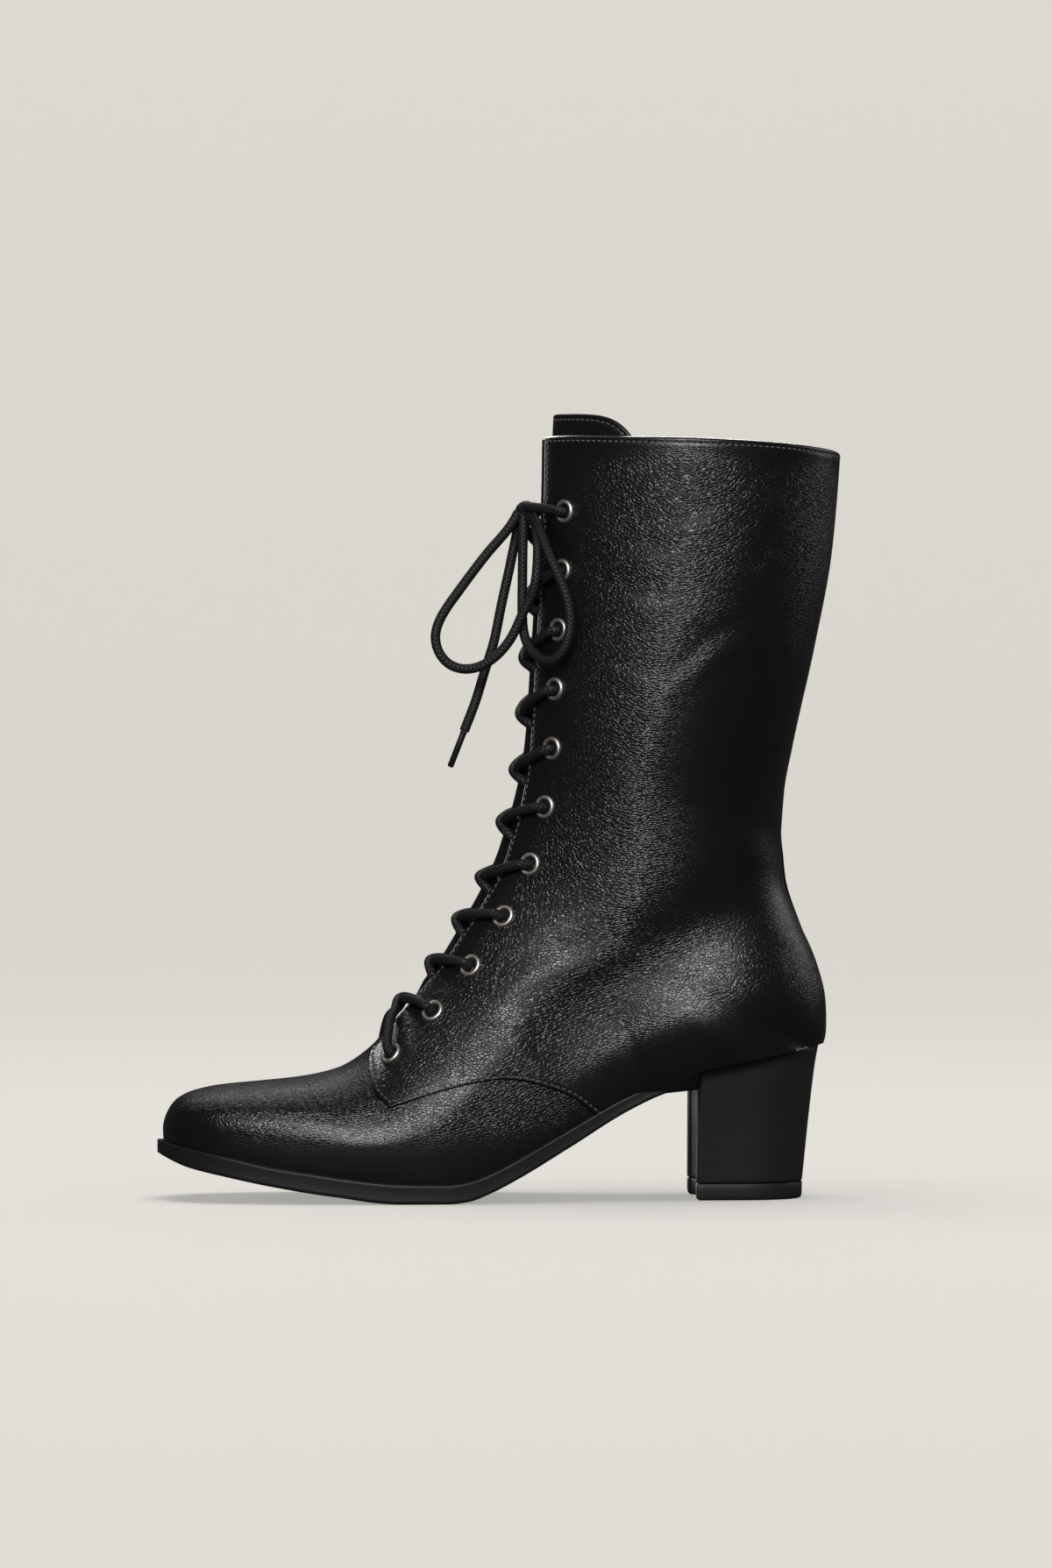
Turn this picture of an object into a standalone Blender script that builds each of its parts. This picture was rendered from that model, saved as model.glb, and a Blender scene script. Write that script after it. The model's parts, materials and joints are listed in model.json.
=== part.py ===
"""Lace-up boot for a left foot, standing empty on its heel and the ball of its sole.

Frame: toe towards -X, outer (lateral) side towards -Y, +Z up, floor at z = 0, in metres.
Sizes and tables below are in millimetres, and MM turns them into metres where a mesh is made.

The last is a fan of flat sections. Each section runs in side view from a point on the front line
(toe top, instep, shin) to a point on the back line (feather edge, heel back, calf), and its half
width grows from nothing at the front line to the widest place and then falls to the seat share.
A point on the last has a station, which is the distance along the fan, and an angle round the
section: 0 on the front line, -pi on the back line round the lateral side, +pi round the medial one.
"""
import math
from collections import namedtuple

import bmesh
import bpy
import numpy as np
from mathutils import Matrix, Vector

MM = 0.001

# Wall and clearances
VAMP_WALL = 1.8
QUARTER_STEP = 1.0
GAP = 0.3
QUARTER_WALL = VAMP_WALL + QUARTER_STEP

# Throat, eyelets and lace
THROAT_HALF_GAP = 9.5
EYELET_PAIRS = 11
EYELET_PITCH = 22.3
EYELET_INSET = 13.5
FIRST_EYELET_BELOW_COLLAR = 28.4
EYELET_ROW_TOP_Z = 288.0
EYELET_OUTER_RADIUS = 4.5
EYELET_HOLE_RADIUS = 2.7
EYELET_BARREL_RADIUS = 3.05
EYELET_SEAT = 0.45
EYELET_HEIGHT = 1.1
EYELET_BARREL_DEPTH = 2.2
EYELET_SIDES = 8
LACE_RADIUS = 1.85
STRAND_OVER = 1.1
TOP_BAR_OVER = 0.4
AGLET_RADIUS = 1.2
AGLET_LENGTH = 14.5
AGLET_SIDES = 8

# Tongue, insole and sole
TONGUE_THICKNESS = 1.6
TONGUE_GAP = 1.2
TONGUE_TOP_Z = 296.6
TONGUE_HALF_WIDTH_LOW = 22.0
TONGUE_HALF_WIDTH_TOP = 46.0
TONGUE_LATERAL_SHIFT = 8.0
TONGUE_CORNER_DROP = 16.0
TONGUE_CORNER_POWER = 6
TONGUE_LEAN_START = 0.78
TONGUE_LEAN_AT_TOP = 2.4
INSOLE_THICKNESS = 2.0
INSOLE_SIDE_GAP = 1.5
INSOLE_HEEL_X = 111.0
INSIDE_TOE_X = -125.4
SOLE_MARGIN = 2.2
SOLE_EDGE_ROUND = 1.2
SOLE_ROUND_LIMIT = 0.3
HEEL_BREAST_X = 72.4
HEEL_LIFT_HEIGHT = 6.3
HEEL_BREAST_HOLLOW = 3.0
HEEL_BREAST_SHARE = 0.985
HEEL_STRAIGHT_SHARE = 0.42
HEEL_BACK_ROUNDNESS = 0.9
LIFT_EDGE_ROUND = 0.9
LIFT_DRAFT = 0.2

Section = namedtuple(
    "Section",
    "front_x front_z back_x back_z lateral medial widest nose seat fullness swing",
)

# One row for each flat section of the last, from the toe tip, round the heel, to above the collar
LAST = (
    Section(-127.8, 26.8, -127.6, 20.7, 2.2, 2.2, 0.60, -0.20, 0.97, 2.4, 3.6),
    Section(-127.3, 29.6, -127.0, 20.6, 6.8, 6.8, 0.60, -0.20, 0.97, 2.4, 3.6),
    Section(-125.8, 33.4, -125.3, 20.4, 12.3, 12.3, 0.60, -0.20, 0.97, 2.4, 3.5),
    Section(-122.6, 37.6, -122.2, 19.7, 18.2, 18.2, 0.61, -0.20, 0.97, 2.4, 3.4),
    Section(-116.5, 40.8, -116.5, 18.3, 24.6, 24.6, 0.61, -0.20, 0.97, 2.4, 3.2),
    Section(-106.0, 43.1, -106.0, 16.2, 31.0, 31.0, 0.62, -0.18, 0.97, 2.4, 2.8),
    Section(-92.0, 44.5, -92.0, 12.8, 35.3, 35.3, 0.62, -0.15, 0.97, 2.4, 2.2),
    Section(-76.0, 46.2, -75.0, 10.3, 38.3, 38.3, 0.64, -0.10, 0.97, 2.4, 1.4),
    Section(-62.0, 49.4, -58.0, 7.7, 40.0, 40.0, 0.66, 0.12, 0.96, 2.4, 0.6),
    Section(-48.5, 58.3, -42.0, 5.9, 40.5, 40.5, 0.68, 0.38, 0.96, 2.4, -0.2),
    Section(-37.7, 72.6, -22.0, 5.4, 40.0, 39.0, 0.66, 0.42, 0.95, 2.4, -1.0),
    Section(-30.0, 82.0, 0.0, 12.3, 37.5, 36.5, 0.60, 0.42, 0.93, 2.2, -1.2),
    Section(-22.0, 92.6, 25.0, 26.1, 35.0, 34.5, 0.52, 0.40, 0.87, 2.0, -0.8),
    Section(-16.0, 102.6, 50.0, 40.0, 34.0, 34.0, 0.46, 0.38, 0.82, 1.9, -0.4),
    Section(-11.2, 110.6, 75.0, 44.5, 34.5, 34.5, 0.42, 0.38, 0.82, 1.9, 0.0),
    Section(-7.3, 117.8, 97.0, 48.5, 35.0, 35.0, 0.41, 0.38, 0.81, 1.9, 0.0),
    Section(-4.9, 122.6, 112.8, 51.5, 35.3, 35.3, 0.40, 0.38, 0.56, 2.0, 0.0),
    Section(-2.9, 127.0, 120.2, 56.2, 35.5, 35.5, 0.40, 0.37, 0.0, 2.5, 0.0),
    Section(-1.2, 131.4, 121.8, 64.0, 35.7, 35.7, 0.41, 0.37, 0.0, 2.4, 0.0),
    Section(0.6, 137.0, 121.4, 74.0, 36.0, 36.0, 0.42, 0.36, 0.0, 2.3, 0.0),
    Section(3.2, 145.0, 118.6, 88.0, 36.3, 36.3, 0.43, 0.36, 0.0, 2.2, 0.0),
    Section(5.7, 154.5, 112.6, 105.5, 36.8, 36.8, 0.44, 0.36, 0.0, 2.2, 0.0),
    Section(7.4, 162.5, 107.8, 122.0, 37.6, 37.6, 0.45, 0.36, 0.0, 2.2, 0.0),
    Section(8.7, 171.0, 105.7, 138.4, 38.6, 38.6, 0.46, 0.35, 0.0, 2.1, 0.0),
    Section(9.7, 182.0, 106.6, 153.5, 40.2, 40.2, 0.47, 0.34, 0.0, 2.1, 0.0),
    Section(10.5, 195.0, 110.0, 172.0, 42.0, 42.0, 0.48, 0.34, 0.0, 2.1, 0.0),
    Section(12.2, 222.0, 118.2, 209.0, 44.2, 44.2, 0.49, 0.34, 0.0, 2.1, 0.0),
    Section(14.0, 255.0, 124.8, 245.0, 45.4, 45.4, 0.50, 0.34, 0.0, 2.1, 0.0),
    Section(14.6, 288.0, 128.0, 282.0, 46.0, 46.0, 0.50, 0.34, 0.0, 2.1, 0.0),
    Section(14.6, 312.0, 129.5, 306.0, 46.2, 46.2, 0.50, 0.34, 0.0, 2.1, 0.0),
)

SoleStation = namedtuple("SoleStation", "x top bottom")

# Side view of the outsole: its top is the feather line that the upper stands on
SOLE = (
    SoleStation(-130.0, 22.4, 17.8),
    SoleStation(-119.0, 20.3, 13.2),
    SoleStation(-106.0, 17.6, 10.2),
    SoleStation(-90.0, 13.9, 6.9),
    SoleStation(-73.0, 11.2, 4.0),
    SoleStation(-56.0, 8.8, 1.6),
    SoleStation(-44.0, 7.5, 0.0),
    SoleStation(-18.0, 7.2, 0.0),
    SoleStation(-12.0, 8.7, 1.6),
    SoleStation(-3.0, 12.3, 5.2),
    SoleStation(6.0, 17.0, 10.0),
    SoleStation(24.0, 27.2, 20.6),
    SoleStation(46.0, 39.5, 34.0),
    SoleStation(59.0, 45.0, 40.2),
    SoleStation(72.4, 48.6, 44.6),
)

HeelLevel = namedtuple("HeelLevel", "share breast_x back_x half_width")

# Heel block from the seat (share 0) to the seam of the top lift (share 1)
HEEL = (
    HeelLevel(0.0, 73.2, 120.6, 28.6),
    HeelLevel(0.12, 73.2, 119.4, 28.0),
    HeelLevel(0.5, 72.9, 117.0, 25.2),
    HeelLevel(1.0, 72.6, 114.4, 22.6),
)
HEEL_SEAT_FRONT = (72.4, 48.6)
HEEL_SEAT_BACK = (121.0, 58.2)

# Side view of the lower and front edge of the quarters: the front point, round the corner at the
# vamp and up over the arch seam, then down to the sole
QUARTER_SEAM = (
    (-45.5, 61.0),
    (-50.3, 51.3),
    (-49.5, 42.5),
    (-43.6, 35.6),
    (-24.0, 42.1),
    (-1.0, 46.5),
    (21.8, 40.9),
    (34.0, 32.5),
)
COLLAR_LINE = (
    (0.0, 287.8),
    (20.0, 287.8),
    (43.0, 286.7),
    (70.0, 285.8),
    (105.0, 284.2),
    (122.0, 282.9),
    (140.0, 280.0),
)

# Rest of the cutters' side outlines, outside the boot or through its open throat
AROUND_QUARTERS = ((40.0, 22.0), (160.0, 22.0), (160.0, 330.0), (-30.0, 330.0), (-75.0, 90.0))
ABOVE_COLLAR = ((160.0, 280.0), (160.0, 340.0), (-40.0, 340.0), (-40.0, 287.8))
THROAT_SLOT = (
    (-47.5, 53.0),
    (-38.0, 60.0),
    (-2.0, 100.0),
    (22.0, 150.0),
    (30.0, 200.0),
    (36.0, 330.0),
    (-10.0, 330.0),
    (-20.0, 160.0),
    (-45.0, 105.0),
    (-62.0, 67.0),
)
REACH = 80.0
CUTTER_HALF_LENGTH = 140.0
CUTTER_FLOOR_Z = -20.0

# Points along the fan and round the section of each form, closer together at the toe
UPPER_GRID = (40, 27)
QUARTER_GRID = (31, 27)
INSIDE_GRID = (38, 21)
TONGUE_GRID = (22, 11)
SOLE_SECTIONS = 44
KNOT_GRID = (10, 6)
CLOSER_AT_TOE = 1.3
SOLE_CLOSER_AT_TOE = 1.25
UPPER_END_SHORT = 3.0
QUARTER_END_SHORT = 6.0
QUARTER_START_X = -70.0
TONGUE_START_X = -60.0
THROUGH_FEATHER = 2.5
HOLE_CLEARANCE = 0.35


def curve_through(knots, values, at):
    """Cubic through each column of values, with slopes that never overshoot the rows."""
    knots = np.asarray(knots, float)
    values = np.asarray(values, float)
    step = np.diff(knots)[:, None]
    slope = np.diff(values, axis=0) / step
    before, after = slope[:-1], slope[1:]
    same_way = before * after > 0
    share_before = 2 * step[1:] + step[:-1]
    share_after = step[1:] + 2 * step[:-1]
    safe_before = np.where(same_way, before, 1.0)
    safe_after = np.where(same_way, after, 1.0)
    mean = (share_before + share_after) / (share_before / safe_before + share_after / safe_after)
    tangent = np.vstack([slope[:1], np.where(same_way, mean, 0.0), slope[-1:]])
    at = np.clip(np.asarray(at, float), knots[0], knots[-1])
    left = np.clip(np.searchsorted(knots, at, side="right") - 1, 0, len(knots) - 2)
    width = step[left]
    u = (at - knots[left])[:, None] / width
    return (
        (1 + 2 * u) * (1 - u) ** 2 * values[left]
        + u * (1 - u) ** 2 * width * tangent[left]
        + u**2 * (3 - 2 * u) * values[left + 1]
        + u**2 * (u - 1) * width * tangent[left + 1]
    )


def fan_knots():
    """Station of each row: the mean distance that its two ends have moved along the fan."""
    rows = np.array(LAST)
    front_step = np.linalg.norm(np.diff(rows[:, 0:2], axis=0), axis=1)
    back_step = np.linalg.norm(np.diff(rows[:, 2:4], axis=0), axis=1)
    return np.concatenate([[0.0], np.cumsum((front_step + back_step) / 2)])


KNOTS = fan_knots()
LAST_END = KNOTS[-1]


def last_point(station, angle):
    """Point on the last for arrays of stations and signed angles, in millimetres."""
    station, angle = np.broadcast_arrays(np.asarray(station, float), np.asarray(angle, float))
    row = Section(*curve_through(KNOTS, LAST, station.ravel()).T.reshape((-1,) + station.shape))
    t = (1 - np.cos(np.abs(angle))) / 2
    to_front = np.clip(1 - t / row.widest, 0, 1)
    nose_share = np.sqrt(1 - to_front**2) - row.nose * to_front**1.5 * np.sqrt(1 - to_front)
    to_back = np.clip((t - row.widest) / (1 - row.widest), 0, 1)
    seat_share = row.seat + (1 - row.seat) * (1 - to_back**row.fullness) ** (1 / row.fullness)
    half = np.where(angle < 0, -row.lateral, row.medial)
    x = row.front_x + (row.back_x - row.front_x) * t
    y = row.swing + half * np.where(t < row.widest, nose_share, seat_share)
    z = row.front_z + (row.back_z - row.front_z) * t
    return np.stack([x, y, z], axis=-1)


def last_normal(station, angle):
    """Outward unit normal, from the two directions along the surface."""
    station, angle = np.broadcast_arrays(np.asarray(station, float), np.asarray(angle, float))
    small_step, small_turn = 0.05, 0.002
    along = last_point(np.minimum(station + small_step, LAST_END), angle)
    along -= last_point(np.maximum(station - small_step, 0.0), angle)
    across = last_point(station, np.minimum(angle + small_turn, math.pi))
    across -= last_point(station, np.maximum(angle - small_turn, -math.pi))
    normal = np.cross(along, across)
    return normal / np.linalg.norm(normal, axis=-1, keepdims=True)


def last_offset(station, angle, height):
    """Point at a height above the last."""
    height = np.asarray(height, float)[..., None]
    return last_point(station, angle) + last_normal(station, angle) * height


def station_where(column, value, lowest=0.0):
    """Station at which a growing column of the table reaches a value."""
    fine = np.linspace(lowest, LAST_END, 1500)
    values = curve_through(KNOTS, LAST, fine)[:, Section._fields.index(column)]
    return float(np.interp(value, values, fine))


def angle_at_arc(station, across):
    """Signed angle that lies a signed distance from the front line along the section."""
    side = math.copysign(1.0, across)
    turn = np.linspace(0.0, math.pi, 240)
    section = last_point(station, side * turn)
    arc = np.concatenate([[0.0], np.cumsum(np.linalg.norm(np.diff(section, axis=0), axis=1))])
    return side * float(np.interp(abs(across), arc, turn))


def place_on_last(station, across, height):
    """Point a distance from the front line along the section, at a height above the last."""
    return last_offset(np.array(station), np.array(angle_at_arc(station, across)), height)


def smooth_line(points, per_span):
    """Smooth line through its points, by the distance between them."""
    points = np.array(points, float)
    knots = np.concatenate([[0.0], np.cumsum(np.linalg.norm(np.diff(points, axis=0), axis=1))])
    fine = np.linspace(0.0, knots[-1], per_span * (len(points) - 1) + 1)
    return curve_through(knots, points, fine)


def heel_seat_height(x):
    """Height of the slanted seat that the heel block carries."""
    rise = (HEEL_SEAT_BACK[1] - HEEL_SEAT_FRONT[1]) / (HEEL_SEAT_BACK[0] - HEEL_SEAT_FRONT[0])
    return HEEL_SEAT_FRONT[1] + rise * (x - HEEL_SEAT_FRONT[0])


def feather_height(x):
    """Height of the feather line: the sole's top, then the slanted heel seat."""
    sole_x = [row.x for row in SOLE]
    sole_top = [[row.top] for row in SOLE]
    x = np.asarray(x, float)
    on_sole = curve_through(sole_x, sole_top, x)[:, 0]
    return np.where(x < HEEL_SEAT_FRONT[0], on_sole, heel_seat_height(x))


def clear_scene():
    for item in list(bpy.data.objects):
        bpy.data.objects.remove(item, do_unlink=True)


def new_collection(name):
    collection = bpy.data.collections.new(name)
    bpy.context.scene.collection.children.link(collection)
    return collection


def new_material(name, colour, roughness, metallic=0.0):
    material = bpy.data.materials.new(name)
    material.use_nodes = True
    shader = material.node_tree.nodes["Principled BSDF"]
    shader.inputs["Base Color"].default_value = (*colour, 1.0)
    shader.inputs["Roughness"].default_value = roughness
    shader.inputs["Metallic"].default_value = metallic
    return material


def mesh_from(name, bm):
    """Mesh of a bmesh, with doubled points merged and its faces turned outwards."""
    bmesh.ops.remove_doubles(bm, verts=bm.verts, dist=1e-6)
    bmesh.ops.dissolve_degenerate(bm, edges=bm.edges, dist=1e-7)
    bmesh.ops.recalc_face_normals(bm, faces=bm.faces)
    if bm.calc_volume(signed=True) < 0:
        bmesh.ops.reverse_faces(bm, faces=bm.faces)
    mesh = bpy.data.meshes.new(name)
    bm.to_mesh(mesh)
    bm.free()
    return mesh


def add_part(name, mesh, collection, material):
    mesh.materials.append(material)
    mesh.shade_smooth()
    mesh.set_sharp_from_angle(angle=math.radians(40))
    part = bpy.data.objects.new(name, mesh)
    collection.objects.link(part)
    return part


def add_cutter(name, mesh, collection):
    cutter = bpy.data.objects.new(name, mesh)
    collection.objects.link(cutter)
    cutter.hide_render = True
    cutter.display_type = "WIRE"
    return cutter


def add_boolean(part, cutter, operation, solver="EXACT"):
    boolean = part.modifiers.new(cutter.name, "BOOLEAN")
    boolean.object = cutter
    boolean.operation = operation
    boolean.solver = solver


def loft_mesh(name, rings, fan_caps=False):
    """Closed solid through rings of points in millimetres, with a face or a fan at each end."""
    bm = bmesh.new()
    loops = [[bm.verts.new(Vector(point) * MM) for point in ring] for ring in rings]
    for near, far in zip(loops, loops[1:]):
        for i, corner in enumerate(near):
            bm.faces.new((near[i - 1], corner, far[i], far[i - 1]))
    for end in (loops[0], loops[-1]):
        cap = bm.faces.new(end)
        if fan_caps:
            bmesh.ops.poke(bm, faces=[cap])
    return mesh_from(name, bm)


def side_prism_mesh(name, outline, half_width):
    """Side-view outline in millimetres, pushed out the same way to both sides."""
    bm = bmesh.new()
    corners = [bm.verts.new((x * MM, -half_width * MM, z * MM)) for x, z in outline]
    face = bm.faces.new(corners)
    pushed = bmesh.ops.extrude_face_region(bm, geom=[face])
    moved = [item for item in pushed["geom"] if isinstance(item, bmesh.types.BMVert)]
    bmesh.ops.translate(bm, verts=moved, vec=(0.0, 2 * half_width * MM, 0.0))
    return mesh_from(name, bm)


def last_form_mesh(name, first, end, grid, height, drop=0.0):
    """Closed form at a height off the last, its open bottom edge pushed down by a drop."""
    stations, around = grid
    station = (first + (end - first) * np.linspace(0.0, 1.0, stations) ** CLOSER_AT_TOE)[:, None]
    angle = np.linspace(-math.pi, math.pi, around)[None, :]
    points = last_offset(station, angle, np.full((stations, around), height))
    seat = curve_through(KNOTS, LAST, station[:, 0])[:, Section._fields.index("seat")]
    points[:, 0, 2] -= drop * seat
    points[:, -1, 2] -= drop * seat
    return loft_mesh(name, points, fan_caps=True)


def inside_form_mesh(name, depth):
    """The last shrunk by a depth, its bottom edge pushed down through the feather line."""
    first = station_where("front_x", INSIDE_TOE_X)
    return last_form_mesh(name, first, LAST_END, INSIDE_GRID, -depth, depth + THROUGH_FEATHER)


def below_feather_mesh(name, height):
    """Everything under the feather line, raised by a height."""
    toe_x, heel_x = -CUTTER_HALF_LENGTH, CUTTER_HALF_LENGTH
    x = np.append(np.linspace(toe_x, HEEL_SEAT_FRONT[0], 40), heel_x)
    outline = list(zip(x, feather_height(x) + height))
    outline += [(heel_x, CUTTER_FLOOR_Z), (toe_x, CUTTER_FLOOR_Z)]
    return side_prism_mesh(name, outline, REACH)


def make_upper(parts, cutters, leather):
    """One hollow wall: the vamp's form, the quarters a step above it, and all the openings."""
    vamp = last_form_mesh("upper", 0.0, LAST_END - UPPER_END_SHORT, UPPER_GRID, 0.0)
    upper = add_part("upper", vamp, parts, leather)

    start = station_where("back_x", QUARTER_START_X)
    end = LAST_END - QUARTER_END_SHORT
    quarter_mesh = last_form_mesh("quarter_form", start, end, QUARTER_GRID, QUARTER_STEP)
    quarter = add_cutter("quarter_form", quarter_mesh, cutters)
    panel_outline = [*smooth_line(QUARTER_SEAM, 4), *AROUND_QUARTERS]
    panel_mesh = side_prism_mesh("quarter_outline", panel_outline, REACH)
    panel = add_cutter("quarter_outline", panel_mesh, cutters)
    add_boolean(quarter, panel, "INTERSECT", "MANIFOLD")
    add_boolean(upper, quarter, "UNION", "MANIFOLD")

    inside = add_cutter("inside_form", inside_form_mesh("inside_form", VAMP_WALL), cutters)
    add_boolean(upper, inside, "DIFFERENCE", "MANIFOLD")

    below = add_cutter("below_feather", below_feather_mesh("below_feather", GAP), cutters)
    add_boolean(upper, below, "DIFFERENCE", "MANIFOLD")

    slot = add_cutter("throat", side_prism_mesh("throat", THROAT_SLOT, THROAT_HALF_GAP), cutters)
    add_boolean(upper, slot, "DIFFERENCE", "MANIFOLD")

    collar_outline = [*smooth_line(COLLAR_LINE, 3), *ABOVE_COLLAR]
    collar = add_cutter("collar", side_prism_mesh("collar", collar_outline, REACH), cutters)
    add_boolean(upper, collar, "DIFFERENCE", "MANIFOLD")

    holes = add_cutter("eyelet_holes", eyelet_holes_mesh(), cutters)
    add_boolean(upper, holes, "DIFFERENCE", "MANIFOLD")
    return upper


def make_tongue(parts, leather):
    """Leaf under the throat: the last's front, set in by the wall and leaning back at the top."""
    along, across = TONGUE_GRID
    first = station_where("front_x", TONGUE_START_X)
    top = station_where("front_z", TONGUE_TOP_Z, first)
    u = np.linspace(-1.0, 1.0, across)[None, :]
    v = np.linspace(0.0, 1.0, along)[:, None]
    station = first + v * (top - TONGUE_CORNER_DROP * u**TONGUE_CORNER_POWER - first)
    half_width = TONGUE_HALF_WIDTH_LOW + (TONGUE_HALF_WIDTH_TOP - TONGUE_HALF_WIDTH_LOW) * v**2
    from_front = half_width * u - TONGUE_LATERAL_SHIFT * v**2
    angle = np.vectorize(angle_at_arc)(station, from_front)
    lean = TONGUE_LEAN_AT_TOP * np.clip((v - TONGUE_LEAN_START) / (1 - TONGUE_LEAN_START), 0, 1) ** 1.5
    depth = -(VAMP_WALL + TONGUE_GAP + lean) * np.ones_like(angle)
    points = last_offset(station, angle, depth)
    bm = bmesh.new()
    grid = [[bm.verts.new(Vector(point) * MM) for point in row] for row in points]
    for near, far in zip(grid, grid[1:]):
        for i in range(across - 1):
            bm.faces.new((near[i], far[i], far[i + 1], near[i + 1]))
    mesh = bpy.data.meshes.new("tongue")
    bm.to_mesh(mesh)
    bm.free()
    tongue = add_part("tongue", mesh, parts, leather)
    solidify = tongue.modifiers.new("thickness", "SOLIDIFY")
    solidify.thickness = TONGUE_THICKNESS * MM
    solidify.offset = -1.0
    solidify.use_even_offset = True
    return tongue


def make_insole(parts, cutters, board):
    """Board that fills the inside's floor, a gap off the wall and the feather line."""
    mesh = inside_form_mesh("insole", VAMP_WALL + INSOLE_SIDE_GAP)
    insole = add_part("insole", mesh, parts, board)
    toe_x = INSIDE_TOE_X + INSOLE_SIDE_GAP
    x = np.append(np.linspace(toe_x, HEEL_SEAT_FRONT[0], 30), INSOLE_HEEL_X)
    low = feather_height(x) + GAP
    outline = list(zip(x, low)) + list(zip(x[::-1], low[::-1] + INSOLE_THICKNESS))
    slab = add_cutter("insole_slab", side_prism_mesh("insole_slab", outline, REACH), cutters)
    add_boolean(insole, slab, "INTERSECT", "MANIFOLD")
    return insole


def sole_edges(stations):
    """Lateral and medial edge of the sole in plan: the last's bottom edge plus the margin."""
    edges = []
    for angle in (-math.pi, math.pi):
        edge = last_point(stations, np.full(len(stations), angle))[:, :2]
        run = np.gradient(edge, axis=0)
        out = np.stack([run[:, 1], -run[:, 0]], axis=1) * math.copysign(1.0, -angle)
        out /= np.linalg.norm(out, axis=1, keepdims=True)
        edges.append(edge + out * SOLE_MARGIN)
    return edges


def make_outsole(parts, rubber):
    """Loft of flat cross sections with rounded lower edges, from the toe to the heel breast."""
    breast = station_where("back_x", HEEL_BREAST_X)
    stations = breast * np.linspace(0.0, 1.0, SOLE_SECTIONS) ** SOLE_CLOSER_AT_TOE
    lateral, medial = sole_edges(stations)
    sole_x = [row.x for row in SOLE]
    heights = [[row.top, row.bottom] for row in SOLE]
    rings = []
    for left, right in zip(lateral, medial):
        left_top, left_bottom = curve_through(sole_x, heights, [left[0]])[0]
        right_top, right_bottom = curve_through(sole_x, heights, [right[0]])[0]
        width = np.linalg.norm(right - left)
        inward = (right - left) / width * min(SOLE_EDGE_ROUND, SOLE_ROUND_LIMIT * width)
        rings.append([
            (*left, left_top),
            (*left, left_bottom + SOLE_EDGE_ROUND),
            (*(left + inward), left_bottom),
            (*(right - inward), right_bottom),
            (*right, right_bottom + SOLE_EDGE_ROUND),
            (*right, right_top),
        ])
    return add_part("outsole", loft_mesh("outsole", rings), parts, rubber)


def heel_ring(breast_x, back_x, half_width, inset=0.0):
    """Plan outline of the heel: straight sides, round back and a hollow breast."""
    breast_x, back_x, half_width = breast_x + inset, back_x - inset, half_width - inset
    middle_x = breast_x + HEEL_STRAIGHT_SHARE * (back_x - breast_x)
    turn = np.linspace(-math.pi / 2, math.pi / 2, 19)
    back = np.stack([
        middle_x + (back_x - middle_x) * np.abs(np.cos(turn)) ** HEEL_BACK_ROUNDNESS,
        half_width * np.sign(np.sin(turn)) * np.abs(np.sin(turn)) ** HEEL_BACK_ROUNDNESS,
    ], axis=1)
    breast_y = np.linspace(HEEL_BREAST_SHARE, -HEEL_BREAST_SHARE, 9)
    breast = np.stack([
        breast_x + HEEL_BREAST_HOLLOW * (1 - breast_y**2),
        half_width * breast_y,
    ], axis=1)
    return np.concatenate([back, breast])


def make_heel(parts, stack):
    """Tapering block from the slanted seat down to the level seam of the top lift."""
    seam = HEEL_LIFT_HEIGHT + GAP
    rings = []
    for level in HEEL:
        ring = heel_ring(level.breast_x, level.back_x, level.half_width)
        top = heel_seat_height(ring[:, 0])
        rings.append(np.column_stack([ring, top + level.share * (seam - top)]))
    return add_part("heel", loft_mesh("heel", rings), parts, stack)


def make_top_lift(parts, rubber):
    """Level rubber lift with a small rounding round its wearing edge."""
    foot = HEEL[-1]
    levels = (
        (HEEL_LIFT_HEIGHT, 0.0),
        (LIFT_EDGE_ROUND, LIFT_DRAFT),
        (0.0, LIFT_DRAFT + LIFT_EDGE_ROUND),
    )
    rings = []
    for height, inset in levels:
        ring = heel_ring(foot.breast_x, foot.back_x, foot.half_width, inset)
        rings.append(np.column_stack([ring, np.full(len(ring), height)]))
    return add_part("heel_top_lift", loft_mesh("heel_top_lift", rings), parts, rubber)


def eyelet_stations():
    """Stations of the eyelet pairs, an even pitch apart along their own row, down from the collar."""
    across = -(THROAT_HALF_GAP + EYELET_INSET)
    lowest = station_where("front_x", TONGUE_START_X)
    fine = np.linspace(lowest, station_where("front_z", EYELET_ROW_TOP_Z), 160)
    row = np.array([place_on_last(station, across, 0.0) for station in fine])
    arc = np.concatenate([[0.0], np.cumsum(np.linalg.norm(np.diff(row, axis=0), axis=1))])
    below = FIRST_EYELET_BELOW_COLLAR + EYELET_PITCH * np.arange(EYELET_PAIRS)
    return np.interp(arc[-1] - below, arc, fine)


EYELETS = eyelet_stations()


def eyelet_frame(station, side):
    """Matrix whose Z axis points out of the quarter at an eyelet, in metres."""
    across = side * (THROAT_HALF_GAP + EYELET_INSET)
    angle = angle_at_arc(station, across)
    centre = last_offset(np.array(station), np.array(angle), QUARTER_STEP)
    normal = Vector(last_normal(np.array(station), np.array(angle)))
    return Matrix.Translation(Vector(centre) * MM) @ normal.to_track_quat("Z", "Y").to_matrix().to_4x4()


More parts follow.
